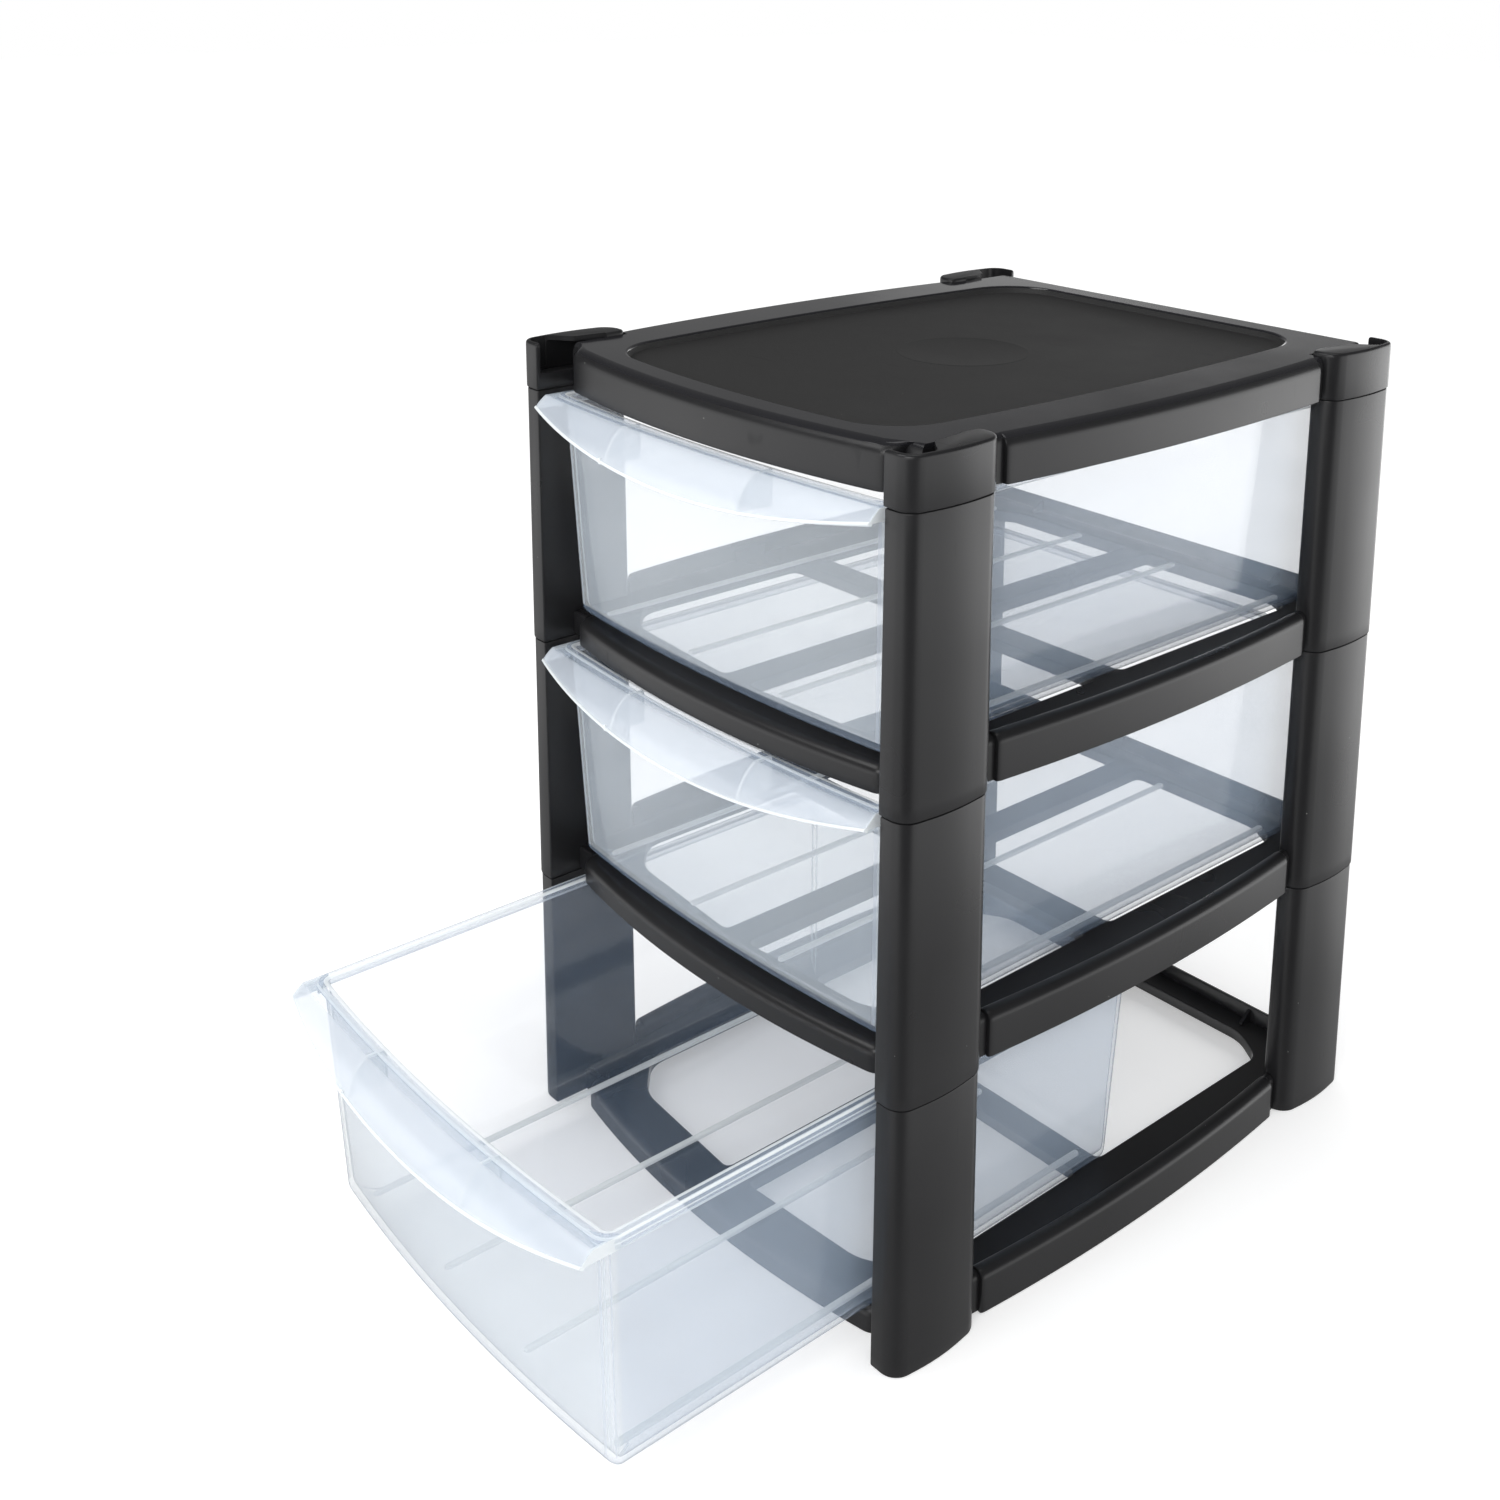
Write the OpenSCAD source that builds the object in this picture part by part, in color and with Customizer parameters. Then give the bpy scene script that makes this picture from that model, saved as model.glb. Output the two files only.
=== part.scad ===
// Three-drawer storage tower for letter paper and craft supplies.
// Plug-together posts carry three bow-fronted shelf frames and a lid with a sunken panel,
// and a clear drawer slides on each shelf. Millimetres, +Z up, drawers open towards -Y.
// The lower drawer stands pulled out by rest_pull; the other two are shut.

/* [Tower] */
// Height from one tier's joint to the next
tier_pitch = 128; // [110:1:150]
// Clear width between the left and right posts
bay_w = 243; // [220:1:280]
// Depth over the front and rear posts
tower_d = 330; // [300:1:380]

/* [Posts] */
// Front-to-back length of a post's section
post_len = 52; // [46:1:64]
// Side-to-side thickness of a post
post_t = 17; // [14:0.5:22]
// Wall of a post and of its cap
post_wall = 2.4; // [1.8:0.1:3]
// Radius of a post's outer front corner
post_nose_r = 9; // [5:0.5:11]
// Height of the spigot that plugs into the post above
spigot_h = 6; // [4:0.5:7]
// Height of the caps on top of the posts
cap_h = 22.5; // [21.5:0.5:28]

/* [Shelf frames] */
// Height of the shelf surface above the tier's joint
ledge_z = 12.8; // [11:0.1:14]
// Height of the side and rear rails
rail_h = 21; // [18:0.5:24]
// Width of a side rail, across its rounded top
rail_w = 8.5; // [7:0.5:11]
// Wall of the rails, shelf and lid
frame_wall = 2.4; // [1.8:0.1:3]
// How far the front rail bulges forward at its middle
front_bow = 13; // [6:0.5:14]
// How far each side rail bulges outward at its middle
side_bow = 6; // [3:0.5:8]
// Gap between a front rail's end and the post beside it
front_neck = 9; // [6:0.5:14]
// Gap between a side rail's end and the posts
side_neck = 5; // [3:0.5:8]
// Width of the two bars that cross each shelf
bar_w = 16.5; // [10:0.5:30]
// Solid margin of the shelf beside its side rails' posts
side_margin = 15; // [12:0.5:22]
// Distance of the front windows from the front of the posts
front_margin = 24; // [20:0.5:32]
// Distance of the rear windows from the rear rail's back
rear_margin = 16; // [12:0.5:24]
// Depth of the lip round each window
lip_h = 6.2; // [3:0.1:8]
// How far the rear rail stands in from the back of the rear posts
rear_inset = 8; // [4:0.5:14]

/* [Lid] */
// Height of the lid's skirt
lid_h = 20.5; // [18:0.5:21]
// Depth of the sunken panel
panel_recess = 3.6; // [2:0.1:5]
// Rim between the panel and the post caps' inner faces
panel_side = 16; // [14:0.5:24]
// Rim behind the lid's front edge
panel_front = 18; // [15:0.5:30]
// Rim in front of the lid's rear edge
panel_rear = 14.5; // [12:0.5:24]

/* [Drawers] */
// Gap between a drawer's rim and the posts on each side
drawer_side_gap = 3; // [1.5:0.5:10]
// Gap between a drawer's rim and the back of the rear rail
drawer_rear_gap = 9.2; // [6:0.1:30]
// Clearance above a drawer's rim
drawer_top_gap = 2; // [1.5:0.1:4]
// Wall of a drawer
drawer_wall = 1.8; // [1.4:0.1:2.4]
// How far the rim stands out from the walls
rim_out = 3.2; // [2:0.1:4]
// Height of the rim's down-turned lip
rim_h = 6; // [4:0.5:9]
// How much narrower a drawer is at its floor, on each side
drawer_draft = 4.8; // [2:0.1:7]
// How far a drawer's front wall bulges forward
drawer_bow = 6; // [3:0.5:9]
// Radius of the lower edge all round
drawer_edge_r = 8; // [4:0.5:12]
// Height of the ribs on the floor
rib_h = 1.5; // [0.8:0.1:2.5]
// Width of a floor rib
rib_w = 3.4; // [2:0.1:5]
// Distance of the outer floor ribs from where the floor's edge begins to curve
rib_margin = 3.5; // [2.5:0.5:20]
// How far the lower drawer stands open
rest_pull = 138; // [0:1:240]

/* [Handles] */
// Width of the flat strip between the wall and the handle's curl
flange_w = 7.8; // [6:0.1:10]
// Radius of the handle's curl
handle_r = 23; // [18:0.5:30]
// Slope of the curl where it leaves the flat strip, in degrees
crease_a = 32; // [20:1:40]
// Slope of the curl at its edge, at the handle's middle
curl_mid = 88; // [70:1:90]
// Slope of the curl at its edge, at the handle's ends
curl_end = 53; // [46:1:62]
// Distance of each gusset from the middle
gusset_x = 47; // [25:1:80]

/* [Hidden] */

$fn = 48;
eps = 0.02;
bow_fn = 1080;       // facets of the large bow radii
fit = 0.15;          // gap between pieces that plug together
glide = 0.3;         // gap under a drawer
seam = 0.5;          // set-back that shows as a line at each post joint
root = 0.25;         // extra thickness where a rail carries a plate
black = [0.17, 0.17, 0.18];
clear = [0.80, 0.87, 0.95, 0.55];

LOWER = 0;
MIDDLE = 1;
UPPER = 2;
TIERS = 3;
tower_h = TIERS * tier_pitch;

// Bows: the front rail's face passes 1 mm behind the posts' front at its middle.
rail_front_y = 1;
half_bay = bay_w / 2;
front_r = bay_w * bay_w / (8 * front_bow) + front_bow / 2;
front_c = rail_front_y + front_r;
side_len = tower_d - 2 * post_len;
side_end_x = half_bay + post_t - side_bow - 0.4;
side_r = side_len * side_len / (8 * side_bow) + side_bow / 2;
side_c = side_end_x + side_bow - side_r;
rear_y = tower_d - rear_inset;
mid_y = tower_d / 2;

// Drawer, measured from the front of the posts.
drawer_z = ledge_z + glide;
drawer_h = tier_pitch - drawer_top_gap - drawer_z;
drawer_w = bay_w - 2 * drawer_side_gap;
wall_top_w = drawer_w - 2 * rim_out;
wall_mid_y = rail_front_y + 2.8;
wall_end_y = wall_mid_y + drawer_bow;
wall_rear_y = rear_y - drawer_rear_gap - rim_out;
wall_r = wall_top_w * wall_top_w / (8 * drawer_bow) + drawer_bow / 2;
wall_c = wall_mid_y + wall_r;
front_draft = 4.5;
rear_draft = 4.5;
rib_pitch = (wall_top_w - 2 * (drawer_draft + drawer_edge_r + rib_margin)) / 3;
corner_r = 6;
corner_turn = 82;    // sweep of a front corner, which ends where the bow begins

// Thin features of a drawer's rim and handle.
rim_skin = 1.6;
handle_skin_t = 1.6;
bead_w = 1.4;        // thickened edge of the handle
bead_rise = 0.5;
gusset_t = 1.6;
gusset_drop = 10.6;  // how far a gusset runs down the wall below the rim's lip
handle_half = drawer_w / 2 - 0.5;
handle_reach = flange_w + handle_r * (sin(curl_mid) - sin(crease_a)) + bead_rise;

// Braces between the rear rail and the shelf.
brace_t = 1.8;
brace_x = half_bay * 0.68;
brace_d = drawer_rear_gap + rim_out - frame_wall - 2;

// The whole tower is centred on its own box, with the lower drawer out.
box_front = min(0, wall_mid_y - handle_reach - rest_pull);
origin_y = (box_front + tower_d) / 2;

// ---- outlines ----

function arc(c, r, a0, a1, n) =
    [for (i = [0:n]) let (a = a0 + (a1 - a0) * i / n) [c.x + r * cos(a), c.y + r * sin(a)]];

// Rounds every corner of a convex outline; radii[i] is how far the blend reaches along each side.
function blend(pts, radii, n = 5) = [
    for (i = [0:len(pts) - 1])
        let (
            p = pts[i],
            a = pts[(i + len(pts) - 1) % len(pts)] - p,
            b = pts[(i + 1) % len(pts)] - p,
            p0 = p + a * radii[i] / norm(a),
            p1 = p + b * radii[i] / norm(b)
        )
        for (k = [0:n]) let (t = k / n) (1 - t) * (1 - t) * p0 + 2 * t * (1 - t) * p + t * t * p1];

// A post's section, inner face on x = 0 and nose at y = 0, set in by e all round.
function post_outline(e) =
    let (
        x1 = post_t - e,
        y1 = post_len - e,
        nose = post_nose_r - e,
        tail = post_t * 0.58 - e,
        heel = max(4, e + 0.4) - e,
        bulge = 1.3
    )
    concat(
        [[e, e]],
        arc([x1 - bulge - nose, e + nose], nose, -90, -8, 6),
        [for (k = [1:5]) let (t = k / 6)
            [x1 - bulge * (2 * t - 1) * (2 * t - 1), e + nose + t * (post_len - 2 * e - nose - tail)]],
        arc([x1 - bulge - tail, y1 - tail], tail, 8, 90, 6),
        arc([e + heel, y1 - heel], heel, 90, 180, 3));

// A drawer's outline at height z above its underside, set in by e.
function drawer_outline(z, e) =
    let (
        f = 1 - z / drawer_h,
        hw = wall_top_w / 2 - f * drawer_draft - e,
        y0 = wall_end_y + f * front_draft + e,
        y1 = wall_rear_y - f * rear_draft - e,
        r = max(1, corner_r - e),
        pts = concat(
            arc([-hw + r, y0 + r], r, 180, 180 + corner_turn, 4),
            [for (k = [-5:5]) [(hw - r) * k / 6, y0]],
            arc([hw - r, y0 + r], r, 360 - corner_turn, 360, 4),
            arc([hw - r, y1 - r], r, 0, 90, 4),
            arc([-hw + r, y1 - r], r, 90, 180, 4))
    )
    [for (p = pts)
        [p.x, p.y - drawer_bow * (1 - pow(p.x / hw, 2)) * (y1 - p.y) / (y1 - y0)]];

function wall_y(x) = wall_c - sqrt(wall_r * wall_r - x * x);

// A point of the handle's curl at slope a and radius r: [distance in front of the wall, height above the rim].
function curl(a, r) =
    [flange_w + r * sin(a) - handle_r * sin(crease_a), r * cos(a) - handle_r * cos(crease_a)];

// Slope at which the curl ends, at x from the middle.
function curl_stop(x) = curl_end + (curl_mid - curl_end) * (1 - pow(x / handle_half, 2));

// The handle's section at x, from back behind the wall's face: a flat strip, the curl and its thickened edge.
function handle_section(x, back) =
    let (
        inner_r = handle_r - handle_skin_t,
        inner_a = acos((handle_r * cos(crease_a) - handle_skin_t) / inner_r),
        a1 = curl_stop(x),
        a0 = a1 - bead_w / handle_r * 180 / PI,
        n = 9
    )
    concat(
        [[-back, 0]],
        [for (k = [0:n]) curl(crease_a + (a0 - crease_a) * k / n, handle_r)],
        [for (a = [a0 + 1, a1]) curl(a, handle_r + bead_rise)],
        [for (a = [a1, a0 + 1]) curl(a, inner_r - bead_rise / 2)],
        [for (k = [n:-1:0]) curl(inner_a + (a0 - inner_a) * k / n, inner_r)],
        [[-back, -handle_skin_t]]);

// One quarter's window in a shelf: sx and sy pick the side; g grows it.
// Outer corners are cut across where the posts' corner blocks are.
function window(sx, sy, g) =
    let (
        x0 = bar_w / 2 - g,
        x1 = half_bay - side_margin + g,
        ya = front_margin - g,
        yb = mid_y - 8 - bar_w / 2 + g,
        yc = mid_y - 8 + bar_w / 2 - g,
        yd = rear_y - rear_margin + g,
        y0 = sy < 0 ? ya : yc,
        y1 = sy < 0 ? yb : yd,
        cut = sy < 0 ? [24, 20] : [19, 12],
        inner = 4.5,
        outer = 7,
        bow = sy < 0 ? 5.5 : 0,
        pts = sy < 0
            ? [[x0, y0], [x1 - cut.x, y0 + bow], [x1, y0 + bow + cut.y], [x1, y1], [x0, y1]]
            : [[x0, y0], [x1, y0], [x1, y1 - cut.y], [x1 - cut.x, y1], [x0, y1]],
        radii = sy < 0 ? [inner, outer, outer, inner, inner] : [inner, inner, outer, outer, inner],
        ring = blend(pts, radii)
    )
    sx > 0 ? ring : [for (i = [len(ring) - 1:-1:0]) [-ring[i].x, ring[i].y]];

// The lid's sunken panel, set out by g.
function panel(g) =
    let (
        hw = half_bay - panel_side + g,
        y0 = rail_front_y + panel_front - g,
        y1 = rear_y - panel_rear + g,
        rf = 26,
        rr = 29,
        n = 7,
        pts = concat(
            arc([-hw + rf, y0 + rf], rf, 180, 270, n),
            [for (k = [-3:3]) [(hw - rf) * k / 4, y0]],
            arc([hw - rf, y0 + rf], rf, 270, 360, n),
            [for (k = [-3:3]) [hw, (y0 + y1) / 2 + (y1 - y0 - rf - rr) / 2 * k / 4]],
            arc([hw - rr, y1 - rr], rr, 0, 90, n),
            arc([-hw + rr, y1 - rr], rr, 90, 180, n),
            [for (k = [3:-1:-3]) [-hw, (y0 + y1) / 2 + (y1 - y0 - rf - rr) / 2 * k / 4]]),
        ym = (y0 + y1) / 2,
        hd = (y1 - y0) / 2
    )
    [for (p = pts)
        let (
            u = p.x / hw,
            v = (p.y - ym) / hd
        )
        [p.x - 7 * u * v * v, p.y + 8 * u * u * max(0, -v)]];

// ---- shared shapes ----

// Places children at one corner; the part is drawn as the front right one.
module at_corner(left, rear) {
    mirror([left ? 1 : 0, 0, 0])
        translate([half_bay, rear ? tower_d : 0, 0])
            mirror([0, rear ? 1 : 0, 0]) children();
}

module at_tier(k) translate([0, -origin_y, k * tier_pitch]) children();

// Sweeps a rail profile, drawn as [distance in from the face, height], along the front bow.
module front_sweep(pts, half) {
    a = asin(half / front_r);
    translate([0, front_c, 0]) rotate([0, 0, -90 - a])
        rotate_extrude(angle = 2 * a, $fn = bow_fn)
            polygon([for (p = pts) [front_r - p.x, p.y]]);
}

// The same along the right side bow.
module side_sweep(pts, half) {
    a = asin(half / side_r);
    translate([side_c, mid_y, 0]) rotate([0, 0, -a])
        rotate_extrude(angle = 2 * a, $fn = bow_fn)
            polygon([for (p = pts) [side_r - p.x, p.y]]);
}

module both_sides() {
    children();
    mirror([1, 0, 0]) children();
}

// The flat area inside the rails, set in by e from their outer faces.
module frame_plan(e) {
    inner = half_bay - fit;
    neck = rail_front_y + front_bow + 8;
    intersection() {
        translate([0, front_c]) circle(front_r - e, $fn = bow_fn);
        translate([-half_bay + front_neck, 0]) square([bay_w - 2 * front_neck, neck + 2]);
    }
    translate([-inner, neck]) square([2 * inner, rear_y - neck]);
    both_sides() intersection() {
        translate([side_c, mid_y]) circle(side_r - e, $fn = bow_fn);
        translate([0, post_len + fit]) square([side_r, side_len - 2 * fit]);
    }
}

// Tongues that reach through the slots in the posts' inner faces.
latch_len = 22;
latch_y = 22;
latch_h = 4;
latch_z = spigot_h + 1.6;
module latches(top) {
    stem = 3;
    reach = post_wall + 2.2;
    for (left = [false, true]) for (rear = [false, true])
        at_corner(left, rear) {
            translate([-stem, latch_y, latch_z]) cube([stem + reach, latch_len, latch_h]);
            translate([-stem, latch_y, latch_z])
                cube([stem - fit, latch_len, top - frame_wall / 2 - latch_z]);
        }
}

module latch_slot() {
    translate([-1, latch_y - fit * 2, latch_z - fit * 2])
        cube([post_wall + 2, latch_len + 4 * fit, latch_h + 4 * fit]);
}

// ---- posts and caps ----

module post_shell(h) {
    linear_extrude(h - seam) polygon(post_outline(0));
    linear_extrude(h) polygon(post_outline(seam));
}

module post() {
    h = tier_pitch;
    color(black) {
        difference() {
            post_shell(h);
            translate([0, 0, -eps]) linear_extrude(h - post_wall) polygon(post_outline(post_wall));
            latch_slot();
        }
        translate([0, 0, h - post_wall / 2]) linear_extrude(spigot_h + post_wall / 2) difference() {
            polygon(post_outline(post_wall + fit));
            polygon(post_outline(post_wall + fit + 1.6));
        }
    }
}

module cap() {
    roof = 2.4;
    notch_z = 6;
    color(black) difference() {
        post_shell(cap_h);
        translate([0, 0, -eps]) linear_extrude(cap_h - roof) polygon(post_outline(post_wall));
        latch_slot();
        translate([0, 0, cap_h - notch_z]) linear_extrude(notch_z + eps) intersection() {
            polygon(post_outline(post_wall));
            polygon([[0, 0], [post_t, 0], [post_t - 3, post_len * 0.27], [3.5, post_len * 0.4],
                [post_wall + 0.1, post_len * 0.68], [0, post_len * 0.68]]);
        }
    }
}

// ---- shelf frames ----

// Rounded edge that runs down from the shelf or the lid, a little thicker than what it carries.
function front_profile(top, r) = concat(
    [[0, 0]],
    [for (k = [0:6]) let (a = 90 * k / 6) [r - r * cos(a), top - r + r * sin(a)]],
    [[rail_w, top], [rail_w, top - frame_wall - root], [r, top - frame_wall - root]],
    [[frame_wall, top - r], [frame_wall, 0]]);

// Side rail: an upturned channel that stands above the shelf.
function side_profile(top, r) = concat(
    [[0, 0]],
    [for (k = [0:6]) let (a = 90 * k / 6) [r - r * cos(a), top - r + r * sin(a)]],
    [for (k = [0:3]) let (a = 90 * k / 3) [rail_w - 2 + 2 * sin(a), top - 2 + 2 * cos(a)]],
    [[rail_w, ledge_z - frame_wall], [rail_w - frame_wall, ledge_z - frame_wall]],
    [[rail_w - frame_wall, top - 2 * frame_wall], [frame_wall + 1, top - 2 * frame_wall]],
    [[frame_wall, top - r - 1]],
    [[frame_wall, 0]]);

module shelf_plate() {
    translate([0, 0, ledge_z - frame_wall]) linear_extrude(frame_wall) difference() {
        frame_plan(rail_w / 2);
        for (sx = [-1, 1]) for (sy = [-1, 1]) polygon(window(sx, sy, 0));
    }
    for (sx = [-1, 1]) for (sy = [-1, 1])
        translate([0, 0, ledge_z - lip_h]) linear_extrude(lip_h) difference() {
            polygon(window(sx, sy, frame_wall));
            polygon(window(sx, sy, 0));
        }
}

// The set-back stubs that join the rails to the corners.
module necks(side_top, front_top) {
    set_back = 2.5;
    x1 = side_end_x - set_back;
    both_sides() {
        for (y = [post_len + fit, tower_d - post_len - side_neck - 1])
            translate([x1 - rail_w + set_back, y, 0]) difference() {
                cube([rail_w - set_back, side_neck + 1 - fit, side_top - 1.5]);
                translate([frame_wall, -eps, -eps])
                    cube([rail_w - set_back - 2 * frame_wall, side_neck + 1, side_top - 1.5 - frame_wall]);
            }
        translate([half_bay - front_neck - frame_wall, rail_front_y + front_bow + 4, 0])
            cube([front_neck + frame_wall - fit, frame_wall + 2, front_top - 0.6]);
    }
}

module rear_rail(top) {
    inner = half_bay - fit;
    translate([-inner, rear_y - frame_wall, 0]) cube([2 * inner, frame_wall, top]);
    both_sides() translate([brace_x, rear_y - frame_wall - brace_d, ledge_z - frame_wall])
        cube([brace_t, brace_d + frame_wall / 2, top - ledge_z + frame_wall - 1.5]);
}

module shelf_frame() {
    color(black) {
        shelf_plate();
        front_sweep(front_profile(ledge_z, 5.5), half_bay - front_neck);
        both_sides() side_sweep(side_profile(rail_h, 5), side_len / 2 - side_neck);
        necks(rail_h, ledge_z);
        rear_rail(rail_h);
        latches(ledge_z);
    }
}

// ---- lid ----

module top_cover() {
    color(black) {
        difference() {
            union() {
                translate([0, 0, lid_h - frame_wall]) linear_extrude(frame_wall) frame_plan(rail_w / 2);
                translate([0, 0, lid_h - panel_recess - frame_wall])
                    linear_extrude(panel_recess + frame_wall / 2) polygon(panel(frame_wall));
            }
            translate([0, 0, lid_h - panel_recess]) linear_extrude(panel_recess + 1) polygon(panel(0));
        }
        front_sweep(front_profile(lid_h, 6), half_bay - front_neck);
        both_sides() side_sweep(front_profile(lid_h, 6), side_len / 2 - side_neck);
        necks(lid_h, lid_h);
        inner = half_bay - fit;
        translate([-inner, rear_y - frame_wall, 0]) cube([2 * inner, frame_wall, lid_h]);
        latches(lid_h);
    }
}

// ---- drawers ----

module tub(e, z0) {
    hull() {
        for (k = [0:4]) {
            a = 90 * k / 4;
            z = drawer_edge_r * (1 - sin(a));
            translate([0, 0, z0 + z])
                linear_extrude(eps) polygon(drawer_outline(z0 + z, e + drawer_edge_r * (1 - cos(a))));
        }
        translate([0, 0, drawer_h - eps]) linear_extrude(eps) polygon(drawer_outline(drawer_h, e));
    }
}

module rim() {
    translate([0, 0, drawer_h - rim_skin]) linear_extrude(rim_skin) difference() {
        polygon(drawer_outline(drawer_h, -rim_out));
        polygon(drawer_outline(drawer_h, drawer_wall / 2));
    }
    translate([0, 0, drawer_h - rim_h]) linear_extrude(rim_h) difference() {
        polygon(drawer_outline(drawer_h, -rim_out));
        polygon(drawer_outline(drawer_h, -rim_out + rim_skin));
    }
}

// Joins thin sections into one closed skin. A section is a ring whose first half is its outer face
// and whose second half is its inner face, run back.
module loft(rings) {
    m = len(rings[0]);
    end = (len(rings) - 1) * m;
    polyhedron(
        [for (ring = rings) each ring],
        [
            for (i = [0:m / 2 - 2]) each [[i, i + 1, m - 2 - i], [i, m - 2 - i, m - 1 - i]],
            for (k = [0:m:end - m]) for (i = [0:m - 1])
                let (a = k + i, b = k + (i + 1) % m)
                each [[a, b + m, b], [a, a + m, b + m]],
            for (i = [0:m / 2 - 2])
                each [[end + i, end + m - 2 - i, end + i + 1], [end + i, end + m - 1 - i, end + m - 2 - i]]
        ]);
}

// A thin web under the handle at x, down the wall from the rim to height low.
module web(x, back, low) {
    mid_r = handle_r - handle_skin_t / 2;
    a1 = curl_stop(x) - bead_w / handle_r * 90 / PI;
    n = 6;
    translate([x - gusset_t / 2, wall_y(x), drawer_h]) rotate([90, 0, 90]) linear_extrude(gusset_t)
        polygon(concat(
            [[back, -handle_skin_t / 2]],
            [for (k = [0:n]) let (p = curl(crease_a + (a1 - crease_a) * k / n, mid_r)) [-p.x, p.y]],
            [[back, low]]));
}

// The handle runs the drawer's whole width; its ends reach back into the rim's rounded corners.
module handle() {
    n = 12;
    translate([0, 0, drawer_h]) loft([
        for (k = [-n:n])
            let (x = handle_half * k / n, back = abs(k) == n ? corner_r : drawer_wall / 2)
            [for (p = handle_section(x, back)) [x, wall_y(x) - p.x, p.y]]]);
    for (side = [-1, 1]) {
        web(side * gusset_x, drawer_wall * 0.8, -rim_h - gusset_drop);
        web(side * (handle_half - gusset_t / 2), corner_r - rim_skin, -rim_h);
    }
}

module floor_ribs() {
    y0 = wall_mid_y + front_draft + drawer_edge_r + 4;
    y1 = wall_rear_y - rear_draft - drawer_edge_r - 4;
    for (k = [-1.5:1:1.5])
        translate([k * rib_pitch, 0, drawer_wall - eps]) linear_extrude(rib_h + eps) {
            translate([-rib_w / 2, y0 + rib_w / 2]) square([rib_w, y1 - y0 - rib_w]);
            for (y = [y0 + rib_w / 2, y1 - rib_w / 2]) translate([0, y]) circle(d = rib_w);
        }
}

module drawer(pull) {
    color(clear) translate([0, -pull, drawer_z]) {
        difference() {
            tub(0, 0);
            tub(drawer_wall, drawer_wall);
            translate([0, 0, drawer_h - 2 * eps]) linear_extrude(1)
                polygon(drawer_outline(drawer_h, drawer_wall));
        }
        rim();
        handle();
        floor_ribs();
    }
}

// ---- nodes ----

at_tier(TIERS) top_cover();
at_tier(TIERS) at_corner(true, false) cap();  // cap_front_left
at_tier(TIERS) at_corner(false, false) cap();  // cap_front_right
at_tier(TIERS) at_corner(true, true) cap();  // cap_rear_left
at_tier(TIERS) at_corner(false, true) cap();  // cap_rear_right
at_tier(UPPER) shelf_frame();  // shelf_frame_upper
at_tier(MIDDLE) shelf_frame();  // shelf_frame_middle
at_tier(LOWER) shelf_frame();  // shelf_frame_lower
at_tier(UPPER) at_corner(true, false) post();  // post_front_left_upper
at_tier(UPPER) at_corner(false, false) post();  // post_front_right_upper
at_tier(UPPER) at_corner(true, true) post();  // post_rear_left_upper
at_tier(UPPER) at_corner(false, true) post();  // post_rear_right_upper
at_tier(MIDDLE) at_corner(true, false) post();  // post_front_left_middle
at_tier(MIDDLE) at_corner(false, false) post();  // post_front_right_middle
at_tier(MIDDLE) at_corner(true, true) post();  // post_rear_left_middle
at_tier(MIDDLE) at_corner(false, true) post();  // post_rear_right_middle
at_tier(LOWER) at_corner(true, false) post();  // post_front_left_lower
at_tier(LOWER) at_corner(false, false) post();  // post_front_right_lower
at_tier(LOWER) at_corner(true, true) post();  // post_rear_left_lower
at_tier(LOWER) at_corner(false, true) post();  // post_rear_right_lower
at_tier(UPPER) drawer(0);  // drawer_upper
at_tier(MIDDLE) drawer(0);  // drawer_middle
at_tier(LOWER) drawer(rest_pull);  // drawer_lower
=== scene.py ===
import math

import bmesh
import bpy
from mathutils import Matrix, Vector
from mathutils.geometry import tessellate_polygon


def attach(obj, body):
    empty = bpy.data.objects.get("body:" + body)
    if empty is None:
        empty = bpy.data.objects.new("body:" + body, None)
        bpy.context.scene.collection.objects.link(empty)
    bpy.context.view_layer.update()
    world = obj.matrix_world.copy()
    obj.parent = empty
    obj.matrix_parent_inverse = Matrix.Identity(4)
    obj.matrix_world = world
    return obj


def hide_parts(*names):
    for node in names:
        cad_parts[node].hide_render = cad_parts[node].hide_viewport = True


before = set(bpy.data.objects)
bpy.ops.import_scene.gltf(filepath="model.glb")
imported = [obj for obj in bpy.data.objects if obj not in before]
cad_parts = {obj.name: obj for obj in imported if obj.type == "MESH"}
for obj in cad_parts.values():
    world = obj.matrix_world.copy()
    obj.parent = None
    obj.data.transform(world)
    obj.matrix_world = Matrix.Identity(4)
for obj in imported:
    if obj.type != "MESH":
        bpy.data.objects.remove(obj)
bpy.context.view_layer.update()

# ---- sizes, in millimetres, as in the part's source ----
# x is 0 at the tower's middle, y is 0 at the posts' front and z is 0 at the base.

TIER = 128.0               # height of a tier
HALF_BAY = 121.5           # from the middle to the posts' inner faces
DEPTH = 330.0              # over the front and rear posts
MID_Y = DEPTH / 2
FIT = 0.15                 # play between pieces that are plugged together

POST_LEN = 52.0            # a post along y
POST_T = 17.0              # a post along x
POST_NOSE = 9.0            # radius of its outer front corner
POST_TAIL = 0.58 * POST_T  # radius of its outer rear corner
POST_BULGE = 1.3           # rise of its outer face
SPIGOT_H = 6.0             # height of the neck that plugs into the piece above
CAP_H = 22.5

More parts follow.
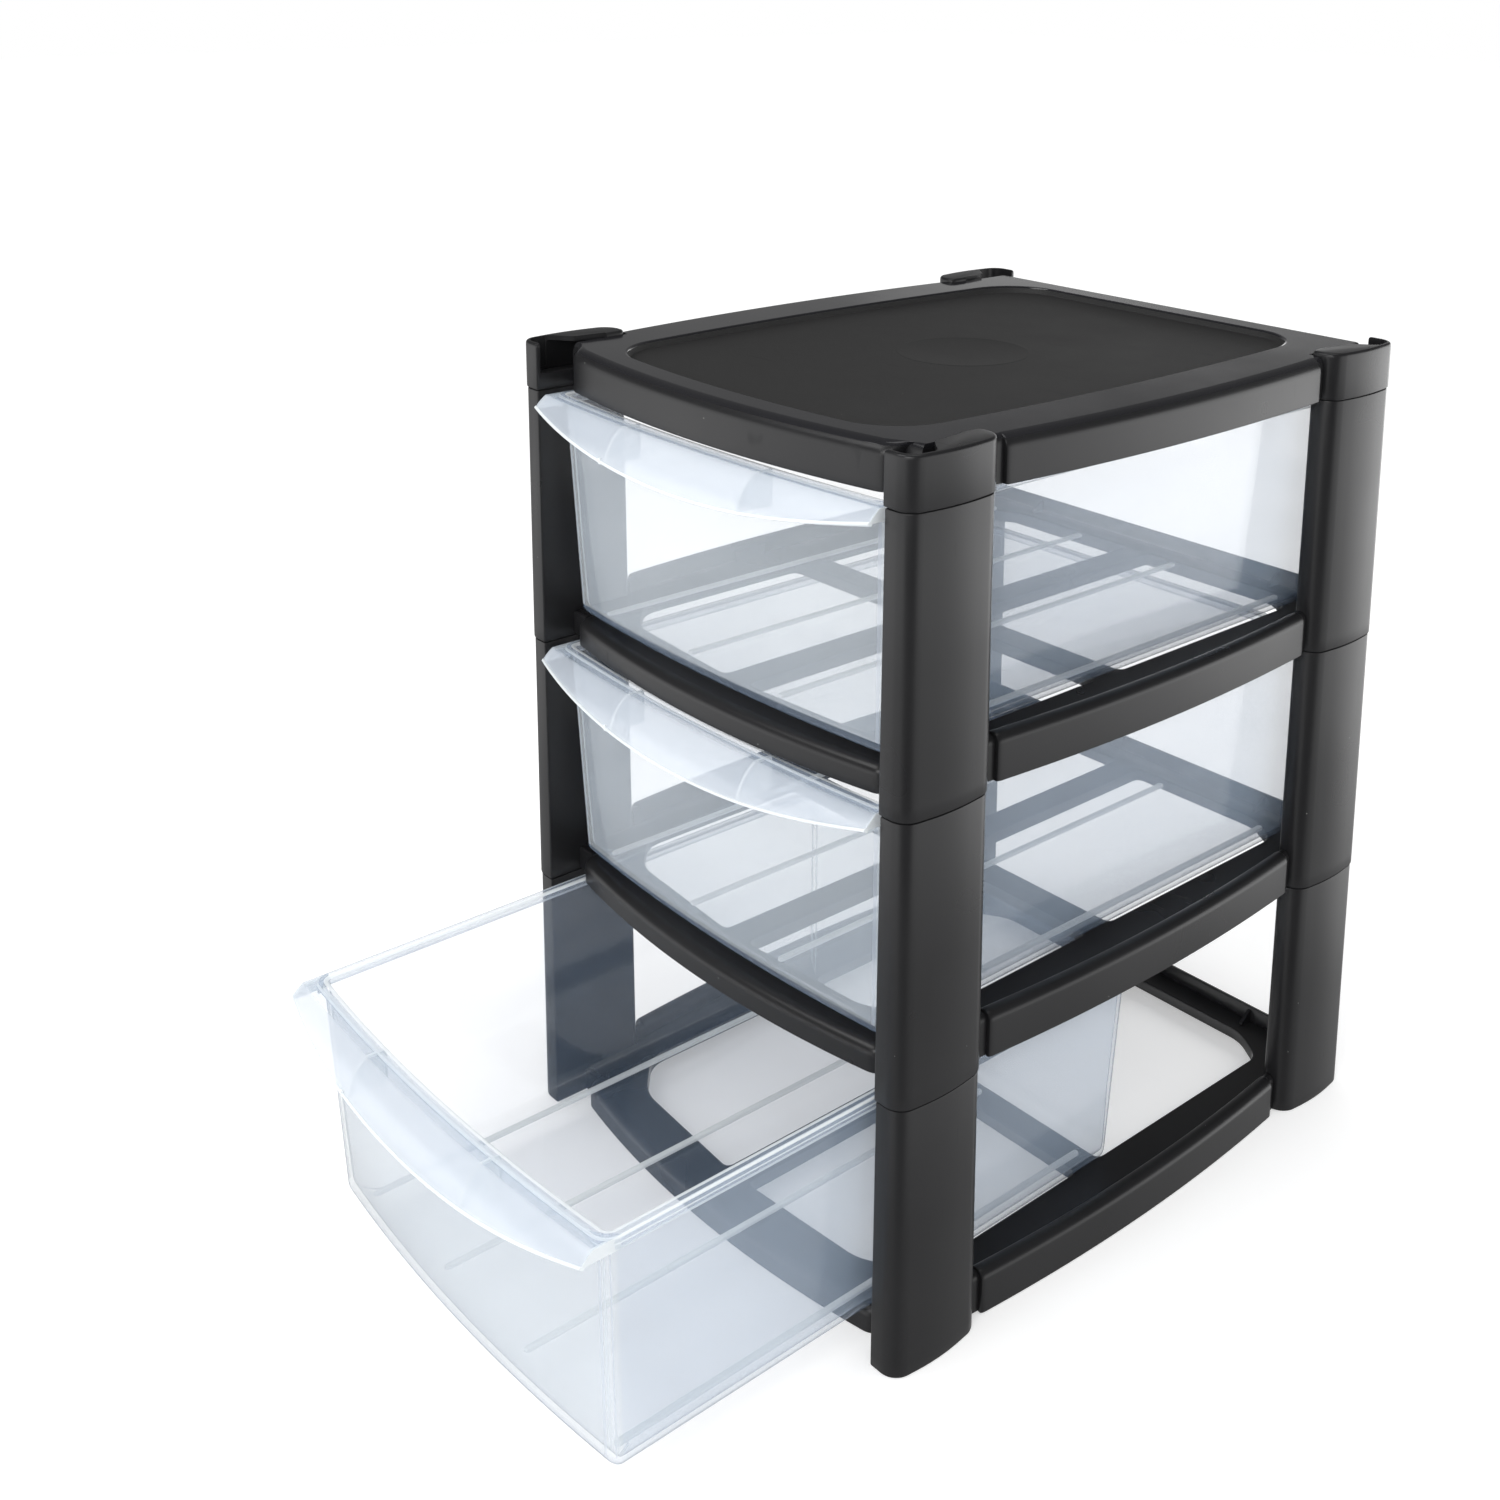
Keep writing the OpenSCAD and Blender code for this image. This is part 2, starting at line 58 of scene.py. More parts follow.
WALL = 2.4                 # wall of the black pieces
LEDGE = 12.8               # height of a shelf
RAIL_H = 21.0              # height of the side and rear rails
RAIL_W = 8.5
NECK = 5.0                 # length of a side rail's set-back ends
NECK_BACK = 2.5            # and their set-back
SHOULDER_LEN = 2.2         # length of the eased shoulder next to the neck
SHOULDER_BACK = 0.85       # set-back at which the shoulder starts
NECK_DROP = 0.55           # how far a rail's top sinks per millimetre of set-back
FRONT_Y = 1.0              # foremost point of the front rails
FRONT_BOW = 13.0
FRONT_END = 113.0          # half-length of the front rails, ends included
FRONT_TURN = 8.5           # radius of their ends
RETURN_Y = 20.4            # y at which the walls behind their ends meet the posts
SIDE_BOW = 6.0
REAR_Y = DEPTH - 8.0       # rear face of the rear rails
SHELF_IN = 6.0             # how far the shelf's plate starts behind the rails' faces
BAR_W = 16.5               # width of the two bars that cross a shelf
SIDE_MARGIN, FRONT_MARGIN, REAR_MARGIN = 15.0, 24.0, 16.0      # round a shelf's windows
LIP_H = 6.2                # depth of the lip round each window
BRACE_X = 83.5             # place of the rear rail's braces
LATCH_Y, LATCH_LEN = 22.6, 22.8        # latch tongues, from the tower's front
LATCH_Z = (7.8, 10.9)

LID_H = 20.5
LID_EDGE = 6.0             # radius of the lid's upper edge
RECESS = 3.6               # depth of the sunken panel
PANEL_SIDE, PANEL_FRONT, PANEL_REAR = 16.0, 18.0, 14.5         # width of the rim round it

GLIDE, TOP_GAP, REAR_GAP = 0.3, 2.0, 9.2       # under, over and behind a drawer
DRAWER_Z = LEDGE + GLIDE
DRAWER_H = TIER - TOP_GAP - DRAWER_Z
DRAWER_HALF = 115.3        # half-width of a drawer over its walls, at the rim
RIM_OUT = 3.2              # reach of the rim over the walls
WALL_Y = 3.8               # foremost point of the front wall
WALL_BOW = 6.0
WALL_REAR = REAR_Y - REAR_GAP - RIM_OUT
DRAFT_X, DRAFT_Y = 4.8, 4.5            # how far the walls lean in from rim to floor
SHEET = 1.8                # thickness of the walls and the floor
BEND = 8.0                 # radius between the walls and the floor
RIB_W, RIB_H, RIB_PITCH = 3.4, 1.5, 66.0
FLANGE = 7.8               # flat strip between the front wall and the handle's curl
CURL_R = 23.0
CREASE = 32.0              # slope of the curl where it leaves the strip, in degrees
CURL_MID, CURL_END = 88.0, 53.0        # its slope at the edge, at the handle's middle and ends
SKIN = 1.6                 # thickness of the handle
BEAD_W, BEAD_RISE = 1.4, 0.5
HANDLE_HALF = 118.0
GUSSET_X = 47.0
WEB_T = 1.5                # thickness of gussets and end webs
PULL = 138.0               # how far the lower drawer stands out
TIERS = {"lower": 0, "middle": 1, "upper": 2}

# circles of the bowed rails: the front one has its middle on x = 0, the side one on y = MID_Y
FRONT_R = (2 * HALF_BAY) ** 2 / (8 * FRONT_BOW) + FRONT_BOW / 2
FRONT_C = FRONT_Y + FRONT_R
SIDE_LEN = DEPTH - 2 * POST_LEN
SIDE_X = HALF_BAY + POST_T - SIDE_BOW - 0.4
SIDE_R = SIDE_LEN ** 2 / (8 * SIDE_BOW) + SIDE_BOW / 2
SIDE_C = SIDE_X + SIDE_BOW - SIDE_R

# numbers of the materials on the lid and on the drawers
LID_BLACK, LID_RIM, LID_PANEL = range(3)
# on the drawers, the second slot is a painted highlight, the third also serves painted highlight
# strips at the corners, and the last two are lit copies for the outer skins, painted light
WALLS, PAINTED_EDGE_HIGHLIGHT, MILK_AND_HIGHLIGHT, STRIP, FRONT_WALL_PAINTED_LIGHT, RIGHT_WALL_PAINTED_LIGHT = range(6)

SHARP = 32.0               # edges steeper than this stay crisp, in degrees


def sin(a):
    return math.sin(math.radians(a))


def cos(a):
    return math.cos(math.radians(a))


def smooth(t):
    t = max(0.0, min(1.0, t))
    return t * t * (3 - 2 * t)


# the handle's reach before the wall, and the CAD model's origin, in the middle of the whole box
REACH = FLANGE + CURL_R * (sin(CURL_MID) - sin(CREASE)) + BEAD_RISE
ORIGIN_Y = (DEPTH + WALL_Y - REACH - PULL) / 2


def arc(cx, cy, r, a0, a1, n):
    angles = [a0 + (a1 - a0) * i / n for i in range(n + 1)]
    return [(cx + r * cos(a), cy + r * sin(a)) for a in angles]


def at(ring, z):
    return [(x, y, z) for x, y in ring]


def between(p, q, t):
    return p[0] + (q[0] - p[0]) * t, p[1] + (q[1] - p[1]) * t


def shift(x, y, z):
    """A move in millimetres."""
    return Matrix.Translation((x / 1000, y / 1000, z / 1000))


# ---- building meshes ----

class Shell:
    """Collects vertices and faces in millimetres and makes one object of them."""

    def __init__(self):
        self.verts, self.faces, self.mats, self.flats = [], [], [], set()

    def ring(self, points):
        """Adds vertices and gives their numbers."""
        start = len(self.verts)
        self.verts += [tuple(p) for p in points]
        return list(range(start, len(self.verts)))

    def face(self, ids, mat=0):
        self.faces.append(tuple(ids))
        self.mats.append(mat)

    def band(self, a, b, mat=0):
        """Faces between two rings of equal length."""
        n = len(a)
        for i in range(n):
            j = (i + 1) % n
            self.face((a[i], a[j], b[j], b[i]), mat)

    def loft(self, rings, mats=0, ends=True):
        """Joins rings of equal length. mats is one material for all, or a list with one a band."""
        if not isinstance(mats, list):
            mats = [mats] * (len(rings) - 1)
        ids = [self.ring(r) for r in rings]
        for a, b, mat in zip(ids, ids[1:], mats):
            self.band(a, b, mat)
        if ends:
            self.face(ids[0], mats[0])
            self.face(ids[-1], mats[-1])
        return ids

    def flat(self, outer, holes, mat=0):
        """Fills between an outer ring of vertex numbers and holes in it."""
        loops = [outer, *holes]
        ids = [i for loop in loops for i in loop]
        corners = [[Vector(self.verts[i]) for i in loop] for loop in loops]
        for tri in tessellate_polygon(corners):
            self.flats.add(len(self.faces))
            self.face([ids[i] for i in tri], mat)

    def sweep(self, stations, profile):
        """Carries a profile of (depth behind the face, height) along stations.

        A station is (x, y, normal x, normal y, set-back of the face)."""
        top = max(z for _, z in profile)
        rings = []
        for x, y, nx, ny, back in stations:
            ring = []
            for d, z in profile:
                inward = d + back * max(0.0, 1 - d / RAIL_W)
                drop = NECK_DROP * back * (z / top) ** 2
                ring.append((x - nx * inward, y - ny * inward, z - drop))
            rings.append(ring)
        self.loft(rings)

    def slab(self, x0, x1, y0, y1, z0, z1, edge, mat=0):
        """A plate with its edges eased."""
        x0, x1 = sorted((x0, x1))
        ring = [(x0, y0), (x1, y0), (x1, y1), (x0, y1)]
        small = inset(ring, edge)
        rings = [at(small, z0), at(ring, z0 + edge), at(ring, z1 - edge), at(small, z1)]
        self.loft(rings, mat)

    def build(self, name, materials, sharp=SHARP):
        mesh = bpy.data.meshes.new(name)
        metres = [(x / 1000, y / 1000, z / 1000) for x, y, z in self.verts]
        mesh.from_pydata(metres, [], self.faces)
        mesh.polygons.foreach_set("material_index", self.mats)
        level = mesh.attributes.new("level", "BOOLEAN", "FACE")
        for i in self.flats:
            level.data[i].value = True
        for m in materials:
            mesh.materials.append(m)
        clean(mesh, sharp)
        obj = bpy.data.objects.new(name, mesh)
        bpy.context.scene.collection.objects.link(obj)
        return obj


def clean(mesh, sharp=SHARP):
    """Welds, turns the faces outwards and marks crisp edges: steep ones and those of flat fills."""
    bm = bmesh.new()
    bm.from_mesh(mesh)
    bmesh.ops.remove_doubles(bm, verts=bm.verts, dist=2e-6)
    bmesh.ops.dissolve_degenerate(bm, edges=bm.edges, dist=1e-6)
    bmesh.ops.recalc_face_normals(bm, faces=bm.faces)
    level = bm.faces.layers.bool.get("level")
    for f in bm.faces:
        f.smooth = True
    for e in bm.edges:
        border = level is not None and len({f[level] for f in e.link_faces}) == 2
        limit = math.radians(0.5 if border else sharp)
        e.smooth = len(e.link_faces) == 2 and e.calc_face_angle(0.0) < limit
    bm.to_mesh(mesh)
    bm.free()


def inset(ring, d):
    """Moves a closed outline inwards by d, or outwards where d is negative."""
    following = ring[1:] + ring[:1]
    area = sum(px * qy - qx * py for (px, py), (qx, qy) in zip(ring, following))
    turn = 1 if area > 0 else -1
    out = []
    for i, (x, y) in enumerate(ring):
        ax, ay = ring[i - 1]
        bx, by = following[i]
        ux, uy = Vector((x - ax, y - ay)).normalized() if (x, y) != (ax, ay) else (0, 0)
        vx, vy = Vector((bx - x, by - y)).normalized() if (x, y) != (bx, by) else (0, 0)
        nx, ny = -turn * (uy + vy), turn * (ux + vx)
        size = math.hypot(nx, ny) or 1
        grow = min(2.0, 2 / size) / size
        out.append((x + d * nx * grow, y + d * ny * grow))
    return out


def blend(points, radii):
    """Rounds the corners of an outline; a radius is how far its blend reaches along both sides."""
    steps = 7
    ring = []
    for i, p in enumerate(points):
        p = Vector(p)
        a = Vector(points[i - 1]) - p
        b = Vector(points[(i + 1) % len(points)]) - p
        p0, p1 = p + a.normalized() * radii[i], p + b.normalized() * radii[i]
        for k in range(steps + 1):
            t = k / steps
            q = (1 - t) ** 2 * p0 + 2 * t * (1 - t) * p + t * t * p1
            ring.append((q.x, q.y))
    return ring


def cut(obj, cutter):
    """Cuts a cutter's shape out of an object and removes the cutter."""
    mod = obj.modifiers.new("cut", "BOOLEAN")
    mod.operation, mod.solver, mod.object = "DIFFERENCE", "EXACT", cutter
    bpy.context.view_layer.update()
    graph = bpy.context.evaluated_depsgraph_get()
    mesh = bpy.data.meshes.new_from_object(obj.evaluated_get(graph))
    obj.modifiers.clear()
    obj.data = mesh
    bpy.data.objects.remove(cutter)
    clean(obj.data)


def place(source, name, matrix, body, node):
    """Puts a copy of a piece at its place in the tower, in the frame of the CAD model."""
    mesh = source.data.copy()
    mesh.transform(shift(0, -ORIGIN_Y, 0) @ matrix)
    if matrix.determinant() < 0:
        mesh.flip_normals()
    obj = bpy.data.objects.new(name, mesh)
    bpy.context.scene.collection.objects.link(obj)
    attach(obj, body)
    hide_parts(node)
    return obj


# ---- shader nodes ----

# x and y are a node's place in the editor.

MIX_SOCKETS = {"FLOAT": (2, 3, 0), "RGBA": (6, 7, 2)}   # a mix node's two values and its result


def put(tree, socket, value):
    """Sets an input to a value, or links it where the value is another node's output."""
    if isinstance(value, bpy.types.NodeSocket):
        tree.links.new(value, socket)
    else:
        socket.default_value = value


def fill(tree, node, *values, **named):
    """Fills a node's inputs, by order or by name."""
    for socket, value in zip(node.inputs, values):
        put(tree, socket, value)
    for key, value in named.items():
        put(tree, node.inputs[key.replace("_", " ")], value)
    return node


def node_of(tree, kind, x, y, *values, **named):
    node = tree.nodes.new(kind)
    node.location = (x, y)
    return fill(tree, node, *values, **named)


def math_of(tree, x, y, operation, *values, clamp=False):
    node = node_of(tree, "ShaderNodeMath", x, y, *values)
    node.operation, node.use_clamp = operation, clamp
    return node.outputs[0]


def map_of(tree, x, y, value, low, high, start=0.0, end=1.0, kind="LINEAR"):
    """Goes from low to high where the value goes from start to end."""
    node = node_of(tree, "ShaderNodeMapRange", x, y, Value=value,
                   From_Min=start, From_Max=end, To_Min=low, To_Max=high)
    node.interpolation_type = kind
    return node.outputs["Result"]


def mix_of(tree, x, y, kind, share, a, b):
    node = node_of(tree, "ShaderNodeMix", x, y)
    node.data_type = kind
    first, second, result = MIX_SOCKETS[kind]
    for number, value in ((0, share), (first, a), (second, b)):
        put(tree, node.inputs[number], value)
    return node.outputs[result]


def material_of(name):
    mat = bpy.data.materials.new(name)
    mat.use_nodes = True
    return mat, mat.node_tree, mat.node_tree.nodes["Principled BSDF"]


# ---- materials ----

def plastic(name, color, rough, grain, grain_scale, shine):
    """Moulded black plastic: fine grain, slow changes of gloss, dust specks and faint rub marks."""
    mat, tree, shader = material_of(name)
    where = node_of(tree, "ShaderNodeTexCoord", -1300, 0).outputs["Object"]
    slow = node_of(tree, "ShaderNodeTexNoise", -1050, 250, Vector=where, Scale=14.0, Detail=3.0)
    fine = node_of(tree, "ShaderNodeTexNoise", -1050, -250,
                   Vector=where, Scale=grain_scale, Detail=2.0, Roughness=0.6)
    specks = node_of(tree, "ShaderNodeTexVoronoi", -1050, 0, Vector=where, Scale=75.0)
    stretch = node_of(tree, "ShaderNodeMapping", -1250, -500, Vector=where,
                      Scale=(40.0, 900.0, 60.0), Rotation=(0.3, 0.2, 0.9))
    rubs = node_of(tree, "ShaderNodeTexNoise", -1050, -500,
                   Vector=stretch.outputs["Vector"], Scale=1.0, Detail=1.0)
    slow, fine, rubs = (noise.outputs["Fac"] for noise in (slow, fine, rubs))
    dark, light = ((*[c * share for c in color], 1) for share in (0.8, 1.25))
    tone = mix_of(tree, -550, 250, "RGBA", slow, dark, light)
    dots = map_of(tree, -800, 0, specks.outputs["Distance"], 0.8, 0.0, start=0.013, end=0.0171)
    dusty = mix_of(tree, -300, 200, "RGBA", dots, tone, (0.55, 0.55, 0.53, 1))
    gloss = map_of(tree, -550, -50, slow, rough - 0.04, rough + 0.05, start=0.3, end=0.7)
    scuff = map_of(tree, -800, -500, rubs, 0.0, 0.12, start=0.72, end=0.8)
    bump = node_of(tree, "ShaderNodeBump", -300, -300, Strength=grain, Distance=0.0002, Height=fine)
    fill(tree, shader, Base_Color=dusty, Specular_IOR_Level=shine, Normal=bump.outputs["Normal"],
         Roughness=math_of(tree, -300, -80, "ADD", gloss, scuff))
    return mat


def clear_plastic(name, color, body, edge, rough, streak=0.02, mirror=True):
    """Clear plastic: a haze under a surface that mirrors as a thin sheet does.

    The haze is body where the plastic is seen square on and edge where it is seen edge on."""
    mat, tree, shader = material_of(name)
    where = node_of(tree, "ShaderNodeTexCoord", -1100, 0).outputs["Object"]
    flow = node_of(tree, "ShaderNodeTexNoise", -850, 200,
                   Vector=where, Scale=9.0, Detail=3.0, Distortion=1.5)
    grain = node_of(tree, "ShaderNodeTexNoise", -850, -250, Vector=where, Scale=45.0, Detail=2.0)
    flow, grain = flow.outputs["Fac"], grain.outputs["Fac"]
    facing = node_of(tree, "ShaderNodeLayerWeight", -1050, 60, Blend=0.5).outputs["Facing"]

    def rising(power, low, high):
        return map_of(tree, -650, 60, math_of(tree, -850, 60, "POWER", facing, power), low, high)

    dark, light = ((*[min(1.0, c * share) for c in color], 1) for share in (0.95, 1.04))
    tint = mix_of(tree, -500, 350, "RGBA", flow, dark, light)
    uneven = map_of(tree, -600, 180, flow, -streak, streak, start=0.3, end=0.7)
    haze = math_of(tree, -350, 60, "ADD", rising(4.0, body, edge), uneven, clamp=True)
    gloss = map_of(tree, -600, -200, grain, rough - 0.03, rough + 0.05)
    bump = node_of(tree, "ShaderNodeBump", -350, -300, Strength=0.05, Distance=0.0004, Height=flow)
    surface = {"Roughness": gloss, "Normal": bump.outputs["Normal"]}
    level = 0.0 if mirror else 0.5
    fill(tree, shader, Base_Color=tint, Alpha=haze, Specular_IOR_Level=level, **surface)
    if mirror:
        shine = node_of(tree, "ShaderNodeBsdfGlossy", 0, -300, **surface)
        both = node_of(tree, "ShaderNodeMixShader", 250, 0,
                       rising(5.0, 0.05, 1.0), shader.outputs[0], shine.outputs[0])
        fill(tree, tree.nodes["Material Output"], Surface=both.outputs[0])
    return mat


BLACK = plastic("black_plastic", (0.012, 0.012, 0.013),
                rough=0.30, grain=0.08, grain_scale=1500.0, shine=0.35)
RIM = plastic("black_gloss_rim", (0.012, 0.012, 0.014),
              rough=0.10, grain=0.02, grain_scale=600.0, shine=0.5)
PANEL = plastic("black_matt_panel", (0.020, 0.020, 0.020),
                rough=0.55, grain=0.5, grain_scale=1300.0, shine=0.3)
CLEAR = clear_plastic("clear_wall", (0.50, 0.66, 0.90),
                      body=0.07, edge=0.5, rough=0.08, streak=0.006)
# painted light: the next two are lighter, hazier copies of the clear plastic for the front and the
# right outer skins, where the front lamps fall on them
LIT_FRONT_HAZE = clear_plastic("clear_front_painted_light", (0.85, 0.92, 0.97),
                      body=0.24, edge=0.5, rough=0.08, streak=0.01)
LIT_SIDE_HAZE = clear_plastic("clear_side_painted_light", (0.68, 0.81, 0.97),
                     body=0.20, edge=0.5, rough=0.08, streak=0.01)
FLAT = clear_plastic("clear_flat", (0.66, 0.77, 0.92), body=0.18, edge=0.6, rough=0.12)
# painted highlight: a whiter, nearly opaque copy of the clear plastic for the bright lines along
# the rim, ribs, bead, webs and ends
EDGE_HIGHLIGHT_PLASTIC = clear_plastic("clear_edge_painted_highlight", (0.92, 0.96, 1.0), body=0.6, edge=0.97, rough=0.2, mirror=False)
MILKY = clear_plastic("clear_handle", (0.67, 0.73, 0.81), body=0.38, edge=0.85, rough=0.18)


# ---- posts and caps ----
# Drawn with the inner face on x = 0 and the rounded nose at y = 0.

def post_outline(e):
    """A post's outline, set in by e."""
    x1, y1 = POST_T - e, POST_LEN - e
    nose, tail = POST_NOSE - e, POST_TAIL - e
    heel = max(4.0, e + 0.4) - e    # of the inner rear corner
    ring = arc(e + 0.8, e + 0.8, 0.8, 180, 270, 3)
    ring += arc(x1 - POST_BULGE - nose, e + nose, nose, -90, -8, 14)
    run = POST_LEN - 2 * e - nose - tail
    ring += [(x1 - POST_BULGE * (2 * k / 12 - 1) ** 2, e + nose + k / 12 * run)
             for k in range(1, 12)]
    ring += arc(x1 - POST_BULGE - tail, y1 - tail, tail, 8, 90, 12)
    ring += arc(e + heel, y1 - heel, heel, 90, 180, 6)
    return ring


def slot_cutter():
    """The slot for a latch tongue, with round ends, through a post's inner wall."""
    z0, z1, y0, y1 = 3.6, 10.4, 22.0, 46.0
    r, mid = (z1 - z0) / 2, (z0 + z1) / 2
    outline = arc(y1 - r, mid, r, -90, 90, 8) + arc(y0 + r, mid, r, 90, 270, 8)
    shell = Shell()
    shell.loft([[(x, y, z) for y, z in outline] for x in (-1.0, WALL + 0.8)])
    return shell.build("slot_cutter", [])


def pocket_cutter():
    """The pocket in a cap's top."""
    wall = 2.1
    pocket = [(-1.0, wall)]
    pocket += arc(POST_T - POST_BULGE - POST_NOSE, POST_NOSE, POST_NOSE - wall, -90, -2, 10)
    pocket += [(POST_T - wall - 0.7, 14.0), (12.6, 16.6), (9.5, 18.8), (4.4, 23.0), (3.2, 25.0),
               (1.7, 40.0), (-1.0, 41.0)]
    shell = Shell()
    shell.loft([at(pocket, CAP_H - 15.0), at(pocket, CAP_H + 1.0)])
    return shell.build("pocket_cutter", [])


def hollow(name, profile, cutter):
    """A hollow piece with a post's outline: profile is (set-in, height), from inside to outside."""
    shell = Shell()
    shell.loft([at(post_outline(e), z) for e, z in profile])
    obj = shell.build(name, [BLACK])
    cut(obj, cutter)
    return obj


def post_piece():
    h = TIER
    inner = [(WALL + 1.6, h - WALL), (WALL, h - WALL - 1.0), (WALL, 0.3), (WALL - 0.3, 0.0)]
    outer = [(0.35, 0.0), (0.1, 0.12), (0.0, 0.5), (0.0, 6.0), (0.25, h * 0.5), (0.5, h - 1.5),
             (0.62, h - 0.95), (0.95, h - 0.68), (1.3, h - 0.62), (1.3, h)]
    neck = [(WALL + FIT, h), (WALL + FIT, h + SPIGOT_H - 0.8), (WALL + FIT + 0.5, h + SPIGOT_H)]
    return hollow("post_source", inner + outer + neck, slot_cutter())


def cap_piece():
    h = CAP_H
    inner = [(WALL + 0.4, h - WALL), (WALL, h - WALL - 0.4), (WALL, 0.3), (WALL - 0.3, 0.0)]
    outer = [(0.35, 0.0), (0.1, 0.12), (0.0, 0.5), (0.05, h - 2.2)]
    outer += [(0.05 + 1.25 * (1 - cos(a)), h - 1.6 + 1.6 * sin(a)) for a in (15, 35, 55, 75, 90)]
    return hollow("cap_source", inner + outer, pocket_cutter())


def corner_matrix(side, end, tier):
    """From a post's own drawing to its corner of the tower."""
    m = shift(HALF_BAY, 0, tier * TIER)
    if end == "rear":
        m = shift(0, DEPTH, 0) @ Matrix.Diagonal((1, -1, 1, 1)) @ m
    if side == "left":
        m = Matrix.Diagonal((-1, 1, 1, 1)) @ m
    return m


# ---- rails ----

def front_path(end_y):
    """Along a front rail: the bow, its rounded ends and the short returns to the shelf."""
    steps = 26
    r = FRONT_TURN
    a = math.degrees(math.asin((FRONT_END - r) / FRONT_R)) + 0.07     # slope of the bow at its ends
    bow = []
    for k in range(steps + 1):
        t = -a + 2 * a * k / steps
        bow.append((FRONT_R * sin(t), FRONT_C - FRONT_R * cos(t), sin(t), -cos(t), 0.0))
    x, y, nx, ny, _ = bow[-1]
    cx, cy = x - nx * r, y - ny * r
    turns = [-90 + a + (90 - a) * k / 8 for k in range(1, 9)]
    turn = [(cx + r * cos(t), cy + r * sin(t), cos(t), sin(t), 0.0) for t in turns]
    turn.append((cx + r, end_y, 1.0, 0.0, 0.0))
    return mirror_x(reversed(turn)) + bow + turn


def side_path():
    """Along a right side rail: set-back necks at the posts, eased shoulders and the bow between."""
    steps = 30
    half = SIDE_LEN / 2 - FIT
    neck = half - NECK              # where the necks end, from the rail's middle
    marks = [half, half - 1.0, neck + 0.6, neck]
    marks += [neck - SHOULDER_LEN * (1 - cos(t)) for t in (25, 50, 70, 90)]
    marks += [-m for m in marks]
    marks += [(neck - SHOULDER_LEN - 2) * (2 * k / steps - 1) for k in range(steps + 1)]
    path = []
    for s in sorted({round(m, 4) for m in marks}):
        a = math.degrees(math.asin(s / SIDE_R))
        inside = neck - abs(s)
        if inside <= 0:
            back = NECK_BACK
        elif inside < SHOULDER_LEN:
            back = SHOULDER_BACK * (1 - math.sqrt(1 - (1 - inside / SHOULDER_LEN) ** 2))
        else:
            back = 0.0
        x, y = SIDE_C + SIDE_R * cos(a), MID_Y + SIDE_R * sin(a)
        path.append((x, y, cos(a), sin(a), back))
        if abs(inside) < 1e-3:      # the step from the neck to the shoulder
            path.append((x, MID_Y + SIDE_R * sin(a) * (1 - 2e-5), cos(a), sin(a), SHOULDER_BACK))
    return sorted(path, key=lambda station: station[1])


def front_profile():
    top, r, flange = LEDGE - 0.03, 5.0, 8.0
    ring = [(0.35, 0.0), (0.0, 0.35)]
    ring += [(r - r * cos(a), top - r + r * sin(a)) for a in range(0, 91, 10)]
    ring += [(flange, top), (flange, top - WALL), (r, top - WALL)]
    ring += [(WALL + 0.5, top - r - 0.3), (WALL, top - r - 1.2), (WALL, 0.35), (WALL - 0.35, 0.0)]
    return ring


def side_profile():
    top, outer, inner = RAIL_H, 4.4, 3.6
    ring = [(0.35, 0.0), (0.0, 0.35)]
    ring += [(outer - outer * cos(a), top - outer + outer * sin(a)) for a in range(0, 91, 10)]
    ring += [(RAIL_W - inner + inner * sin(a), top - inner + inner * cos(a))
             for a in range(0, 91, 15)]
    ring += [(RAIL_W, LEDGE - WALL), (RAIL_W - WALL, LEDGE - WALL), (RAIL_W - WALL, top - 5.5),
             (RAIL_W - WALL - 1, top - 4.6)]
    ring += [(WALL + 1.2, top - 4.6), (WALL, top - 6.0), (WALL, 0.35), (WALL - 0.35, 0.0)]
    return ring


def mirror_x(stations):
    return [(-x, y, -nx, ny, back) for x, y, nx, ny, back in stations]


# ---- shelf frame ----

def window(sx, rear, grow):
    """One of the shelf's four windows, on side sx, widened by grow."""
    bar = BAR_W / 2
    bar_y = MID_Y - 8.0             # middle of the bar from side to side
    x0, x1 = bar - grow, HALF_BAY - SIDE_MARGIN + grow
    if rear:
        y0, y1 = bar_y + bar - grow, REAR_Y - REAR_MARGIN + grow
        points = [(x0, y0), (x1, y0), (x1, y1 - 12.0), (x1 - 19.0, y1), (x0, y1)]
        radii = [4.5, 4.5, 7.0, 7.0, 4.5]
    else:
        y0, y1 = FRONT_MARGIN - grow, bar_y - bar + grow
        points = [(x0, y0), (x1 - 24.0, y0 + 5.5), (x1, y0 + 25.5), (x1, y1), (x0, y1)]
        radii = [4.5, 9.0, 9.0, 4.5, 4.5]
    ring = blend(points, radii)
    return ring if sx > 0 else [(-x, y) for x, y in reversed(ring)]


def shelf_outline():
    """The shelf's outline, behind the rails' faces; it meets the posts' inner faces."""
    inner = HALF_BAY - FIT
    right = []
    for x in (0, 15, 30, 45, 60, 75, 90, 104):
        right.append((x, FRONT_C - math.sqrt((FRONT_R - SHELF_IN) ** 2 - x * x)))
    right += [(107.0, RETURN_Y), (inner, RETURN_Y), (inner, POST_LEN + 0.4)]
    for k in range(13):
        y = POST_LEN + 0.4 + (SIDE_LEN - 0.8) * k / 12
        right.append((SIDE_C + math.sqrt((SIDE_R - SHELF_IN) ** 2 - (y - MID_Y) ** 2), y))
    right += [(inner, DEPTH - POST_LEN - 0.4), (inner, REAR_Y - 1.2)]
    left = [(-x, y) for x, y in reversed(right[1:])]
    return right + left


